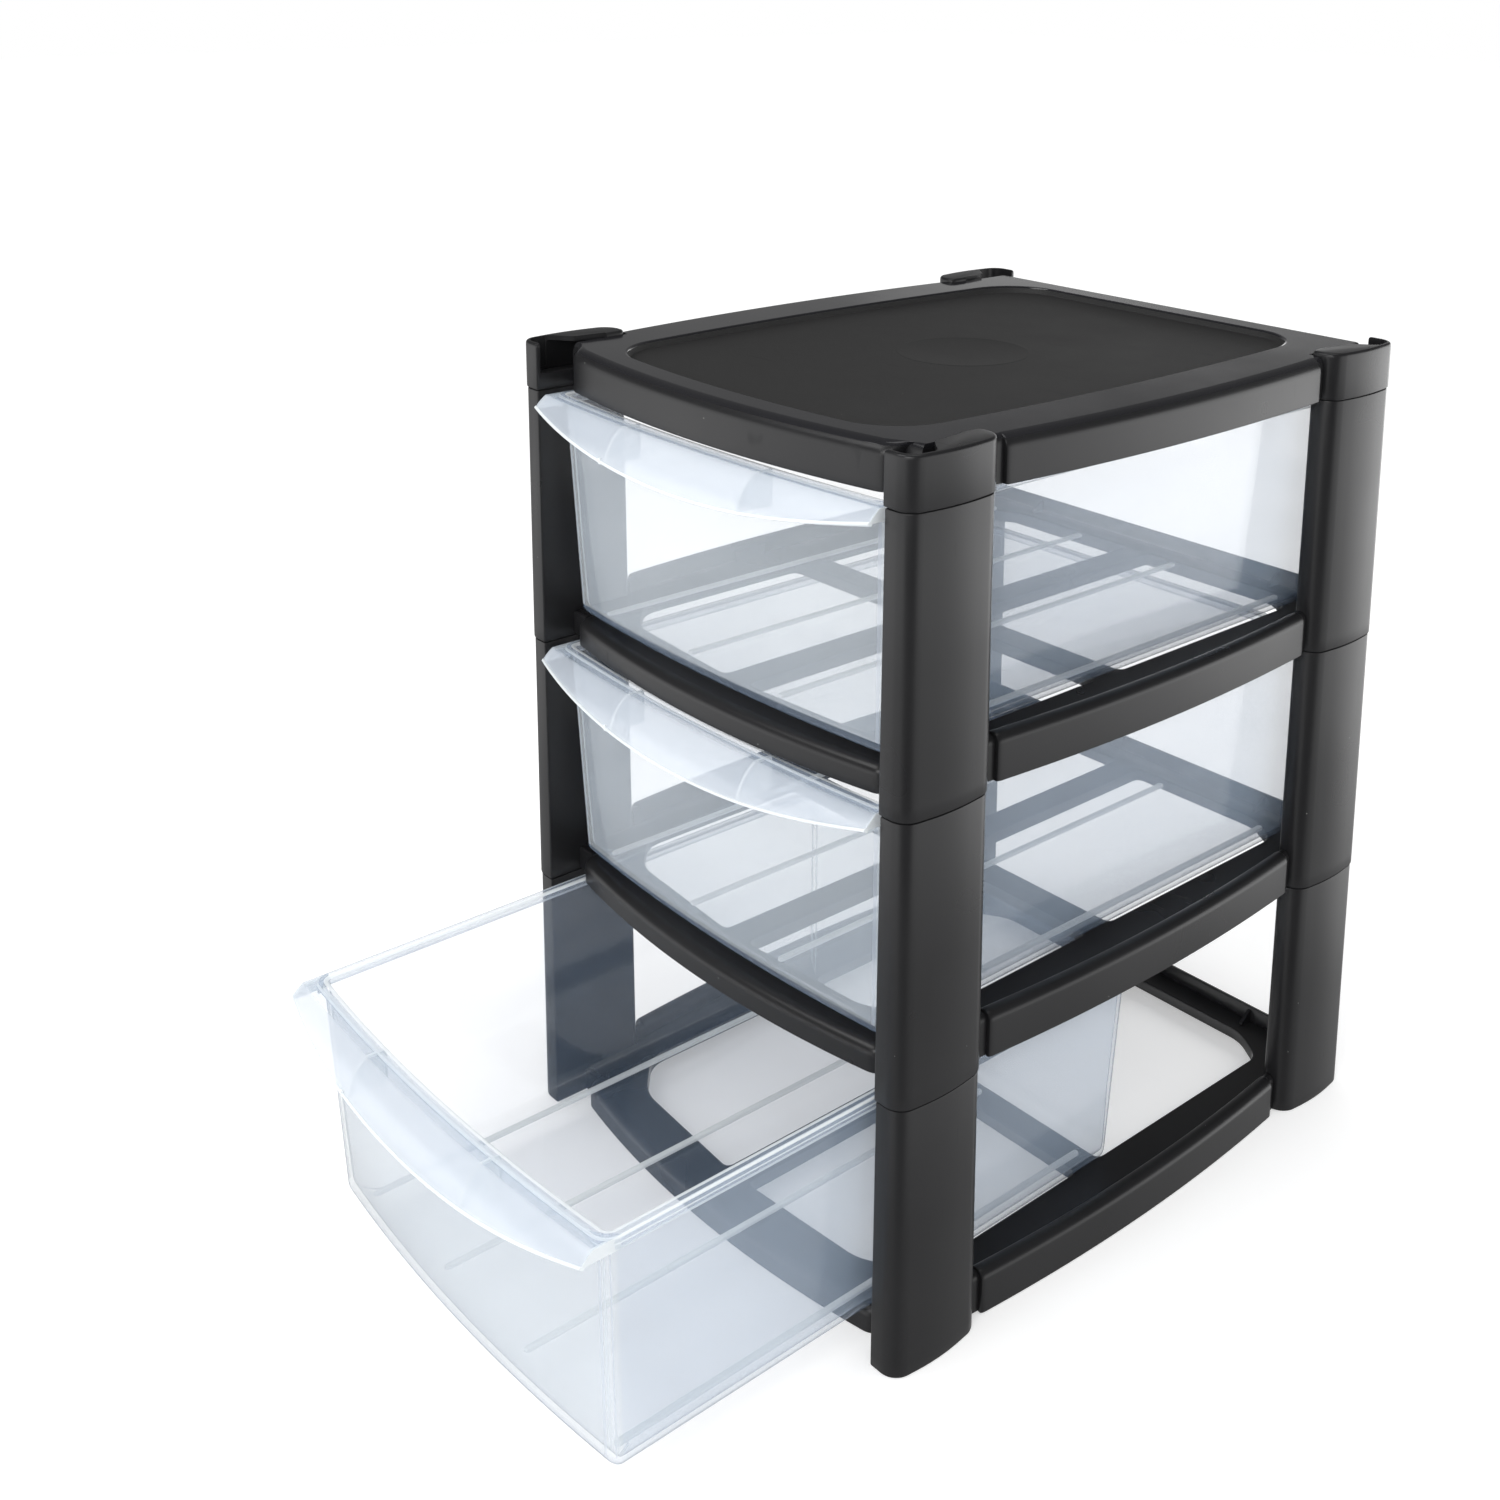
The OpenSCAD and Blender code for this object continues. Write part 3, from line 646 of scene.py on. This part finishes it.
def shelf_plate(shell):
    """The shelf with its four windows, each with a rounded edge and a lip that runs down."""
    low = LEDGE - WALL
    lip = LEDGE - LIP_H
    outline = shelf_outline()
    outer_top = shell.ring(at(outline, LEDGE))
    outer_low = shell.ring(at(outline, low))
    shell.band(outer_low, outer_top)
    steps = [(0.9, LEDGE), (0.25, LEDGE - 0.25), (0.0, LEDGE - 0.9), (0.0, lip + 0.3),
             (0.3, lip), (2.1, lip), (2.4, lip + 0.3), (2.4, low)]      # (widened by, height)
    tops, lows = [], []
    for sx in (-1, 1):
        for rear in (False, True):
            ids = [shell.ring(at(window(sx, rear, grow), z)) for grow, z in steps]
            for a, b in zip(ids, ids[1:]):
                shell.band(a, b)
            tops.append(ids[0])
            lows.append(ids[-1])
    shell.flat(outer_top, tops)
    shell.flat(outer_low, lows)


def shelf_piece():
    shell = Shell()
    shell.sweep(front_path(RETURN_Y + 0.2), front_profile())
    for path in (side_path(), mirror_x(side_path())):
        shell.sweep(path, side_profile())
    shelf_plate(shell)
    # rear rail
    inner = HALF_BAY - FIT
    face = REAR_Y - WALL
    profile = [(face, 0.0), (REAR_Y, 0.0), (REAR_Y, RAIL_H - 1.0), (REAR_Y - 0.3, RAIL_H - 0.3),
               (REAR_Y - 1.2, RAIL_H), (face + 0.3, RAIL_H - 0.3), (face, RAIL_H - 1.0)]
    shell.loft([[(x, y, z) for y, z in profile] for x in (-inner, inner)])
    # its braces, the walls behind the front rail's ends and the latch tongues
    foot = LEDGE - WALL + 0.4
    brace = [(REAR_Y - 10.4, foot), (REAR_Y - 1.2, foot), (REAR_Y - 1.2, RAIL_H - 1.7),
             (REAR_Y - 3.6, RAIL_H - 1.7), (REAR_Y - 10.0, LEDGE + 1.6)]
    for sx in (-1, 1):
        shell.loft([[(sx * BRACE_X + d, y, z) for y, z in brace] for d in (-0.9, 0.9)])
        shell.slab(sx * (FRONT_END - 2.4), sx * inner, RETURN_Y - 3.0, RETURN_Y + 0.4,
                   0.6, LEDGE - 0.5, edge=0.6)
        for y in (LATCH_Y, DEPTH - LATCH_Y - LATCH_LEN):
            shell.slab(sx * (HALF_BAY - 3), sx * (HALF_BAY + 4.2), y, y + LATCH_LEN,
                       *LATCH_Z, edge=0.4)
    return shell.build("shelf_source", [BLACK])


# ---- lid ----

def lid_outline():
    """Pairs of points round the lid: one on the skirt's face, one on the edge of the top above."""
    inner = HALF_BAY - FIT
    path = front_path(RETURN_Y)
    right = path[len(path) // 2:]
    pairs = [((x, y), (x - nx * LID_EDGE, y - ny * LID_EDGE)) for x, y, nx, ny, _ in right]
    # behind the skirt's end the top runs on to the post, over a set-back wall
    bow_end = max(i for i, station in enumerate(right) if station[3] < -0.95)
    end_x, end_y = pairs[bow_end][1]
    for i in range(bow_end + 1, len(right)):
        t = (i - bow_end) / (len(right) - bow_end)
        pairs[i] = (pairs[i][0], (end_x + (inner - 2.2 - end_x) * t, end_y + 6.6 * t))
    pairs.append(((inner, RETURN_Y), (inner - 0.6, pairs[-1][1][1] + 1.0)))
    pairs.append(((inner, POST_LEN + FIT), (inner - 0.2, POST_LEN + 0.2)))
    for x, y, nx, ny, back in side_path():
        d = LID_EDGE if back < 1.0 else LID_EDGE - 0.6
        pairs.append(((x - nx * back, y - ny * back), (x - nx * d, y - ny * d)))
    pairs.append(((inner, DEPTH - POST_LEN - FIT), (inner - 0.2, DEPTH - POST_LEN - 0.2)))
    pairs.append(((inner, REAR_Y - 0.8), (inner - 0.8, REAR_Y - 2.2)))
    pairs.append(((inner - 0.8, REAR_Y), (inner - 2.2, REAR_Y - 1.6)))
    pairs.append(((60.0, REAR_Y), (60.0, REAR_Y - 1.6)))
    left = [((-a[0], a[1]), (-b[0], b[1])) for a, b in reversed(pairs[1:])]
    return pairs + left


def panel_outline(grow):
    """The sunken panel's outline, widened by grow; sides and front are drawn in at the corners."""
    steps = 10
    hw = HALF_BAY - PANEL_SIDE + grow
    y0, y1 = FRONT_Y + PANEL_FRONT - grow, REAR_Y - PANEL_REAR + grow
    rf, rr = 26.0, 29.0             # radii of the front and the rear corners
    draw_x, draw_y = 7, 8           # how far the sides and the front are drawn in
    ym, hd = (y0 + y1) / 2, (y1 - y0) / 2
    side = (y1 - y0 - rf - rr) / 2
    ring = arc(-hw + rf, y0 + rf, rf, 180, 270, steps)
    ring += [((hw - rf) * k / 8, y0) for k in range(-7, 8)]
    ring += arc(hw - rf, y0 + rf, rf, 270, 360, steps)
    ring += [(hw, ym + (rf - rr) / 2 + side * k / 8) for k in range(-7, 8)]
    ring += arc(hw - rr, y1 - rr, rr, 0, 90, steps)
    ring += [((hw - rr) * k / 4, y1) for k in range(3, -4, -1)]
    ring += arc(-hw + rr, y1 - rr, rr, 90, 180, steps)
    ring += [(-hw, ym + (rf - rr) / 2 + side * k / 8) for k in range(7, -8, -1)]
    out = []
    for x, y in ring:
        u, v = x / hw, (y - ym) / hd
        out.append((x - draw_x * u * v * v, y + draw_y * u * u * max(0.0, -v)))
    return out


def lid_panel(shell, rim):
    """The sunken panel inside the rim, with eased edges and a shallow round mark at its middle."""
    floor = LID_H - RECESS
    steps = [(1.1, LID_H), (0.35, LID_H - 0.25), (0.0, LID_H - 0.9), (-0.25, floor + 0.7),
             (-0.6, floor + 0.15), (-1.2, floor)]       # (widened by, height)
    panel = [shell.ring(at(panel_outline(grow), z)) for grow, z in steps]
    for k in range(len(panel) - 1):
        shell.band(panel[k], panel[k + 1], LID_RIM if k < 2 else LID_PANEL)
    shell.flat(rim, [panel[0]], LID_RIM)
    mark = [shell.ring(at(arc(0, MID_Y, r, 0, 354, 59), floor + rise))
            for r, rise in ((32.8, 0.0), (32.2, 0.1), (31.6, 0.1), (31.0, 0.0))]
    for a, b in zip(mark, mark[1:]):
        shell.band(a, b, LID_PANEL)
    shell.flat(panel[-1], [mark[0]], LID_PANEL)
    shell.face(mark[-1], LID_PANEL)


def lid_underside(shell, skirt, pairs, foot):
    """The hollow under the lid, from the foot of its skirt to the underside of the sunken panel."""
    inside = inset(skirt, WALL)
    ceiling = inset([between(p, q, 0.9) for p, q in pairs], 1.2)
    steps = [(inset(skirt, WALL - 0.3), 0.0), (inside, 0.35), (inside, LID_H - LID_EDGE - 0.5),
             (ceiling, LID_H - WALL)]
    rings = [foot] + [shell.ring(at(ring, z)) for ring, z in steps]
    for a, b in zip(rings, rings[1:]):
        shell.band(a, b)
    tray = [shell.ring(at(panel_outline(WALL), z)) for z in (LID_H - WALL, LID_H - RECESS - WALL)]
    shell.flat(rings[-1], [tray[0]])
    shell.band(tray[0], tray[1])
    shell.face(tray[1])


def lid_piece():
    shell = Shell()
    pairs = lid_outline()
    skirt = [p for p, _ in pairs]
    edge = LID_H - LID_EDGE
    rings = [at(inset(skirt, 0.35), 0.0), at(skirt, 0.35), at(skirt, edge)]
    for a in (15, 30, 45, 60, 75, 90):
        rings.append(at([between(p, q, 1 - cos(a)) for p, q in pairs], edge + LID_EDGE * sin(a)))
    ids = shell.loft(rings, [LID_BLACK] * 5 + [LID_RIM] * 3, ends=False)
    lid_panel(shell, ids[-1])
    lid_underside(shell, skirt, pairs, ids[0])
    return shell.build("lid_source", [BLACK, RIM, PANEL])


# ---- drawers ----
# Drawn shut, with z = 0 at the underside of the floor.

CORNER_N, FRONT_N, SIDE_N = 9, 41, 13           # points of a corner, the front and a side
SIDE_START = 2 * CORNER_N + FRONT_N - 1         # where the right side begins in the outline
SIDE_STOP = SIDE_START + SIDE_N + 1             # and where it ends
# painted highlights: these corner strips are drawn in the handle's milkier plastic
CORNER_HIGHLIGHT_STRIPS = (3, 8, 49, 54, 74, 77, 106, 109) # narrow upright strips that light up
BEND_SLOPES = (90, 78, 65, 52, 39, 26, 13, 0)   # slopes of the bend from floor to wall
BEND_EASE = (1.35, 0.8, 0.5)                    # its reach at the front, the sides and the rear
EVEN = (1.0, 1.0, 1.0)
MID_H = 40.0                                    # height of an extra ring of the walls
LIP_TOP = 1.75                                  # depth of the lip at the handle, where it fades out
CURL_N = 12                                     # steps along the handle's curl
# The rim, from the wall's outer face over the rolled lip to its inner face: depth below the rim's
# top, set-in and the material of the band that follows. The bright bands are painted highlights.
RIM_STEPS = [
    (6.0, 0.0, WALLS), (1.9, 0.0, PAINTED_EDGE_HIGHLIGHT), (1.7, -0.3, PAINTED_EDGE_HIGHLIGHT), (1.7, -1.5, PAINTED_EDGE_HIGHLIGHT),
    (2.0, -1.8, STRIP), (5.8, -1.9, PAINTED_EDGE_HIGHLIGHT), (6.0, -2.3, PAINTED_EDGE_HIGHLIGHT), (5.8, -3.1, PAINTED_EDGE_HIGHLIGHT),
    (5.5, -3.2, STRIP), (3.3, -3.2, PAINTED_EDGE_HIGHLIGHT), (3.1, -2.95, PAINTED_EDGE_HIGHLIGHT), (2.8, -2.95, PAINTED_EDGE_HIGHLIGHT),
    (2.6, -3.2, STRIP), (0.9, -3.2, PAINTED_EDGE_HIGHLIGHT), (0.2, -3.0, PAINTED_EDGE_HIGHLIGHT), (0.0, -2.4, STRIP),
    (0.0, -0.2, PAINTED_EDGE_HIGHLIGHT), (0.0, 0.5, PAINTED_EDGE_HIGHLIGHT), (0.15, 1.3, PAINTED_EDGE_HIGHLIGHT), (0.6, SHEET, WALLS)]


def drawer_ring(z, e, ends):
    """A drawer's outline at height z, set in by e times ends, at its front, sides and rear."""
    f = 1 - z / DRAWER_H
    ef, es, er = (e * k for k in ends)
    hw = DRAWER_HALF - f * DRAFT_X - es
    y0 = WALL_Y + WALL_BOW + f * DRAFT_Y + ef
    y1 = WALL_REAR - f * DRAFT_Y - er
    r = max(0.8, 4.6 - e)
    side = [y0 + r + (y1 - y0 - 2 * r) * k / (SIDE_N + 1) for k in range(1, SIDE_N + 1)]
    corner = CORNER_N - 1
    ring = arc(-hw + r, y0 + r, r, 180, 262, corner)
    ring += [((hw - r) * k / 20, y0) for k in (-19.78, *range(-19, 20), 19.78)]
    ring += arc(hw - r, y0 + r, r, 278, 360, corner)
    ring += [(hw, y) for y in side]
    ring += arc(hw - r, y1 - r, r, 0, 90, corner)
    ring += [((hw - r) * k / 12, y1) for k in range(11, -12, -1)]
    ring += arc(-hw + r, y1 - r, r, 90, 180, corner)
    ring += [(-hw, y) for y in reversed(side)]
    # the bow of the front wall, which fades out towards the rear
    return [(x, y - WALL_BOW * (1 - min(1.0, (x / hw) ** 2)) * (y1 - y) / (y1 - y0))
            for x, y in ring]


def tray(shell):
    """Walls, rim and floor: one skin from the underside up, over the rim and down inside."""
    r = BEND
    rows = [(r * (1 - sin(a)), r * (1 - cos(a)), BEND_EASE, WALLS) for a in BEND_SLOPES]
    rows += [(MID_H, 0.0, EVEN, WALLS)]
    rows += [(DRAWER_H - depth, e, EVEN, mat) for depth, e, mat in RIM_STEPS]
    rows += [(MID_H, SHEET, EVEN, WALLS)]
    rows += [(SHEET + r - r * sin(a), SHEET + r * (1 - cos(a)), BEND_EASE, WALLS)
             for a in reversed(BEND_SLOPES)]
    rings = []
    for z, e, ends, _ in rows:
        ring = []
        for x, y in drawer_ring(z, e, ends):
            fade = 0.0
            if e < -1.0 and z < DRAWER_H - 1.7:     # the rim's lip fades out along the handle
                fade = smooth((WALL_Y + WALL_BOW + 14 - y) / 8)
                fade *= smooth((DRAWER_HALF - 1.5 - abs(x)) / 6)
            ring.append((x, y, z + (DRAWER_H - LIP_TOP - z) * fade))
        rings.append(ring)
    mats = [mat for *_, mat in rows[:-1]]
    start, count = len(shell.faces), len(rings[0])
    shell.loft(rings, mats)
    wall = len(BEND_SLOPES) - 1     # the first band of the outer skin above its bend
    for k, mat in enumerate(mats):
        if mat != WALLS or k < wall:
            continue
        first = start + k * count
        # painted light: the front and right outer skins take the lighter, hazier copies of the
        # clear plastic
        if k < wall + 3:            # the outer skin, up to the rim
            for i in range(SIDE_STOP):
                shell.mats[first + i] = FRONT_WALL_PAINTED_LIGHT if i < SIDE_START else RIGHT_WALL_PAINTED_LIGHT
        # painted highlight: the corner strips take the handle's milkier plastic
        for i in CORNER_HIGHLIGHT_STRIPS:
            shell.mats[first + i] = MILK_AND_HIGHLIGHT


def floor_ribs(shell):
    """Four ribs along the floor, with round ends."""
    y0, y1 = 24.0, WALL_REAR - 15.0
    steps = [(0.0, -0.05), (0.0, 0.9), (0.35, 1.35), (1.1, RIB_H)]     # (set-in, height)
    for k in (-1.5, -0.5, 0.5, 1.5):
        x = k * RIB_PITCH
        rib = []
        for e, z in steps:
            r = RIB_W / 2 - e
            rib.append(at(arc(x, y1, r, 0, 180, 10) + arc(x, y0, r, 180, 360, 10), SHEET + z))
        # painted highlight: the ribs take the whiter edge plastic, to show as bright lines
        shell.loft(rib, PAINTED_EDGE_HIGHLIGHT)


def wall_y(x):
    return WALL_Y + WALL_BOW * (x / DRAWER_HALF) ** 2


def curl(a, r):
    """A point of the handle's curl, at slope a and radius r.

    It is given as its distance before the wall and its height over the rim."""
    return FLANGE + r * sin(a) - CURL_R * sin(CREASE), r * cos(a) - CURL_R * cos(CREASE)


def curl_stop(x):
    """The slope at which the curl ends; it is shorter towards the handle's ends."""
    return CURL_END + (CURL_MID - CURL_END) * (1 - (x / HANDLE_HALF) ** 2)


def handle_section(x):
    """The handle's section: flat strip, curl and beaded edge, then back along the underside."""
    inner = CURL_R - SKIN
    inner_a = math.degrees(math.acos((CURL_R * cos(CREASE) - SKIN) / inner))
    a1 = curl_stop(x)
    a0 = a1 - math.degrees(BEAD_W / CURL_R)
    turn_x = 108.0              # from here to its ends the strip starts further back
    back = 2.4 - 7.0 * smooth((abs(x) - turn_x) / (HANDLE_HALF - turn_x))

    def skin(z, start, r, bead):
        points = [(back, z), (FLANGE - 1.2, z)]
        points += [curl(start + (a0 - start) * k / CURL_N, r) for k in range(CURL_N + 1)]
        slopes = (a0 + 0.4, a0 + 1.2, a1 - 0.7, a1)
        return points + [curl(a, r + rise) for a, rise in zip(slopes, bead)]

    upper = skin(-0.03, CREASE, CURL_R, (0.36, BEAD_RISE, BEAD_RISE, 0.15))
    under = skin(-SKIN, inner_a, inner, (-0.15, -0.25, -0.25, 0.1))
    return upper + under[::-1]


def web(shell, x, back, low):
    """A thin web under the handle, from back behind the wall's face to the beaded edge.

    On the wall it runs down to low, counted from the rim."""
    mid = CURL_R - SKIN / 2
    a1 = curl_stop(x) - math.degrees(BEAD_W / CURL_R) / 2
    shape = [(-back, -SKIN / 2)]
    shape += [curl(CREASE + (a1 - CREASE) * k / CURL_N, mid) for k in range(CURL_N + 1)]
    tip_v, tip_z = shape[-1]
    shape += [(tip_v - (tip_v + back) * k / 6, tip_z + (low - tip_z) * smooth(k / 6))
              for k in range(1, 6)]
    shape += [(-back, low)]
    sides = (x - WEB_T / 2, x + WEB_T / 2)
    # painted highlight: the web takes the whiter edge plastic
    shell.loft([[(sx, wall_y(x) - v, DRAWER_H + z) for v, z in shape] for sx in sides], PAINTED_EDGE_HIGHLIGHT)


def handle(shell):
    """A flat strip and a curl with a beaded edge, as wide as the rim, on gussets and end webs."""
    xs = [HANDLE_HALF * (2 * k / 72 - 1) for k in range(73)]
    ids = [shell.ring([(x, wall_y(x) - v, DRAWER_H + z) for v, z in handle_section(x)]) for x in xs]
    size = len(ids[0])
    for a, b in zip(ids, ids[1:]):
        for i in range(size):
            j = (i + 1) % size
            k = min(i, size - 2 - i) if i < size - 1 else 0     # steps from the wall
            # painted highlight: the bead and the end of the curl take the whiter edge plastic
            mat = PAINTED_EDGE_HIGHLIGHT if k >= CURL_N + 2 else MILK_AND_HIGHLIGHT if k >= 2 else STRIP
            shell.face((a[i], a[j], b[j], b[i]), mat)
    # painted highlight: the handle's end faces take the whiter edge plastic
    for end in (ids[0], ids[-1]):
        for i in range(size // 2 - 1):
            shell.face((end[i], end[i + 1], end[size - 2 - i], end[size - 1 - i]), PAINTED_EDGE_HIGHLIGHT)
    for sx in (-1, 1):
        web(shell, sx * GUSSET_X, back=SHEET * 0.8, low=-16.6)
        web(shell, sx * (HANDLE_HALF - 0.9), back=4.4, low=-6.0)
    # a nib on the bead, in front of the left gusset
    x = -GUSSET_X - 3.0
    v, z = curl(curl_stop(x), CURL_R + BEAD_RISE)
    y, z = wall_y(x) - v, DRAWER_H + z
    # painted highlight: the nib takes the whiter edge plastic
    shell.slab(x - 0.6, x + 0.6, y + 0.1, y + 1.2, z - 0.6, z + 2.4, edge=0.25, mat=PAINTED_EDGE_HIGHLIGHT)


def drawer_piece():
    shell = Shell()
    tray(shell)
    floor_ribs(shell)
    handle(shell)
    # the second material is a painted highlight and the last two are painted light on the outer
    # skins
    return shell.build("drawer_source", [CLEAR, EDGE_HIGHLIGHT_PLASTIC, MILKY, FLAT, LIT_FRONT_HAZE, LIT_SIDE_HAZE], sharp=40.0)


# ---- the tower ----

def at_corners(source, kind, tier, suffix=""):
    """One post or cap at each corner of a tier."""
    for end in ("front", "rear"):
        for side in ("left", "right"):
            name = f"{kind}_{end}_{side}{suffix}"
            spot = corner_matrix(side, end, tier)
            place(source, f"{name}_piece", spot, "tower", name)


post, cap, shelf = post_piece(), cap_piece(), shelf_piece()
lid, drawer = lid_piece(), drawer_piece()
for tier, k in TIERS.items():
    z = k * TIER
    spot = shift(0, 0, z)
    place(shelf, f"shelf_{tier}_piece", spot, "tower", f"shelf_frame_{tier}")
    spot = shift(0, -PULL if tier == "lower" else 0, z + DRAWER_Z)
    place(drawer, f"drawer_{tier}_piece", spot, f"{tier}_drawer", f"drawer_{tier}")
    at_corners(post, "post", k, f"_{tier}")
at_corners(cap, "cap", len(TIERS))
place(lid, "lid_piece", shift(0, 0, len(TIERS) * TIER), "tower", "top_cover")
for source in (post, cap, shelf, lid, drawer):
    bpy.data.objects.remove(source)


# ---- floor, light and camera ----
# Sizes in metres, in the frame of the CAD model.

def seen_directly(tree, x, y):
    """1 for rays from the camera, also through clear plastic, and 0 for all others."""
    paths = node_of(tree, "ShaderNodeLightPath", x, y).outputs
    seen, through = paths["Is Camera Ray"], paths["Is Transmission Ray"]
    return math_of(tree, x + 200, y, "ADD", seen, through, clamp=True)


def floor_piece():
    """A pale floor, lifted to white for the camera, so that the shadow still shows on it."""
    half, z = 9.0, -0.0003
    corners = [(-half, -half, z), (half, -half, z), (half, half, z), (-half, half, z)]
    mesh = bpy.data.meshes.new("floor")
    mesh.from_pydata(corners, [], [(0, 1, 2, 3)])
    floor = bpy.data.objects.new("floor", mesh)
    bpy.context.scene.collection.objects.link(floor)
    mat, tree, shader = material_of("floor_white")
    direct = seen_directly(tree, -900, 0)
    card = mix_of(tree, -400, 150, "RGBA", direct, (0.9, 0.9, 0.9, 1), (0.80, 0.80, 0.80, 1))
    lift = math_of(tree, -400, -100, "MULTIPLY", direct, 0.38)
    fill(tree, shader, Base_Color=card, Roughness=0.9, Specular_IOR_Level=0.0,
         Emission_Color=(1, 1, 1, 1), Emission_Strength=lift)
    mesh.materials.append(mat)
    floor.visible_glossy = False


# The studio that glossy surfaces mirror, in white and grey only. Its levels by height, from -1 for
# straight down to 1 for straight up: a pale table, brightest near the horizon, and a dark ceiling.
HEIGHT_LEVELS = [(-1.0, 0.40), (-0.6, 0.45), (-0.5, 0.58), (-0.4, 1.0), (-0.25, 1.85), (0.08, 1.7),
                 (0.17, 0.55), (0.22, 0.2), (0.4, 0.14)]
# Factors on them by side: the side, the cosines between which the factor changes, and the factor
# away from the side and towards it. The front right and the left are dark, the rear is pale.
SIDE_FACTORS = [((0.757, -0.653, 0.0), 0.72, 0.93, 1.0, 0.06),
                ((0.342, 0.94, 0.0), 0.85, 0.915, 1.0, 1.7),
                ((-1.0, 0.0, 0.0), 0.78, 0.96, 1.0, 0.35)]
# No level is above this one, in the same terms: a dark patch at the rear left.
CAP_LEVEL = ((-0.866, 0.5, 0.0), 0.92, 0.965, 3.4, 0.27)
LIGHT_LEVEL = 0.8               # white surroundings, for the rays that light the object


def curve_of(tree, value, points):
    """A colour ramp used as a curve: points are (position, level)."""
    ramp = node_of(tree, "ShaderNodeValToRGB", -200, 0, Fac=value)
    stops = ramp.color_ramp.elements
    stops[0].position, stops[1].position = points[0][0], points[-1][0]
    for position, _ in points[1:-1]:
        stops.new(position)
    for stop, (_, level) in zip(stops, points):
        stop.color = (level, level, level, 1)
    return ramp.outputs["Color"]


def world_light():
    """White surroundings for light and camera, and the studio for glossy surfaces."""
    world = bpy.data.worlds.new("studio")
    bpy.context.scene.world = world
    world.use_nodes = True
    tree = world.node_tree
    way = node_of(tree, "ShaderNodeTexCoord", -1200, 0).outputs["Generated"]

    def side_level(y, side, start, end, away, towards):
        dot = node_of(tree, "ShaderNodeVectorMath", -700, y, way, side)
        dot.operation = "DOT_PRODUCT"
        return map_of(tree, -500, y, dot.outputs["Value"], away, towards, start, end, "SMOOTHSTEP")

    parts = node_of(tree, "ShaderNodeSeparateXYZ", -900, 0, Vector=way)
    height = math_of(tree, -500, 0, "MULTIPLY_ADD", parts.outputs["Z"], 0.5, 0.5)
    level = curve_of(tree, height, [((z + 1) / 2, v) for z, v in HEIGHT_LEVELS])
    for k, side in enumerate(SIDE_FACTORS):
        factor = side_level(-300 - 300 * k, *side)
        level = math_of(tree, 150 + 200 * k, 0, "MULTIPLY", level, factor)
    level = math_of(tree, 750, 0, "MINIMUM", level, side_level(-1200, *CAP_LEVEL))
    paths = node_of(tree, "ShaderNodeLightPath", 750, 300)
    level = mix_of(tree, 950, 0, "FLOAT", paths.outputs["Is Glossy Ray"], LIGHT_LEVEL, level)
    level = mix_of(tree, 1150, 0, "FLOAT", seen_directly(tree, 750, 600), level, 1.0)
    fill(tree, tree.nodes["Background"], Color=(1, 1, 1, 1), Strength=level)


def lamp(name, place_at, aim, size, power):
    data = bpy.data.lights.new(name, "AREA")
    data.shape, data.size, data.size_y, data.energy = "RECTANGLE", size, size * 0.7, power
    obj = bpy.data.objects.new(name, data)
    obj.location = place_at
    obj.rotation_euler = (Vector(aim) - Vector(place_at)).to_track_quat("-Z", "Y").to_euler()
    bpy.context.scene.collection.objects.link(obj)


def camera():
    """The camera, with place, turn, lens and shift as fitted to the photograph."""
    data = bpy.data.cameras.new("camera")
    data.sensor_width = 36.0
    data.lens = 44.058
    data.shift_x = -0.0781
    data.shift_y = -0.2554
    data.clip_start, data.clip_end = 0.02, 40.0
    obj = bpy.data.objects.new("camera", data)
    obj.location = (0.6133, (-457.37 - ORIGIN_Y) / 1000, 0.5923)
    obj.rotation_euler = (math.radians(77.098), math.radians(-0.712), math.radians(47.795))
    bpy.context.scene.collection.objects.link(obj)
    bpy.context.scene.camera = obj


floor_piece()
world_light()
lamp("key", (-0.5, -1.4, 1.9), aim=(0, 0, 0.2), size=1.4, power=14.0)
lamp("top", (0.1, 0.2, 2.4), aim=(0, 0, 0.3), size=1.6, power=8.0)
lamp("fill", (1.0, -1.7, 1.0), aim=(0, -0.1, 0.2), size=1.2, power=16.0)
camera()
bpy.context.scene.view_settings.view_transform = "Standard"
bpy.context.scene.cycles.transparent_max_bounces = 32
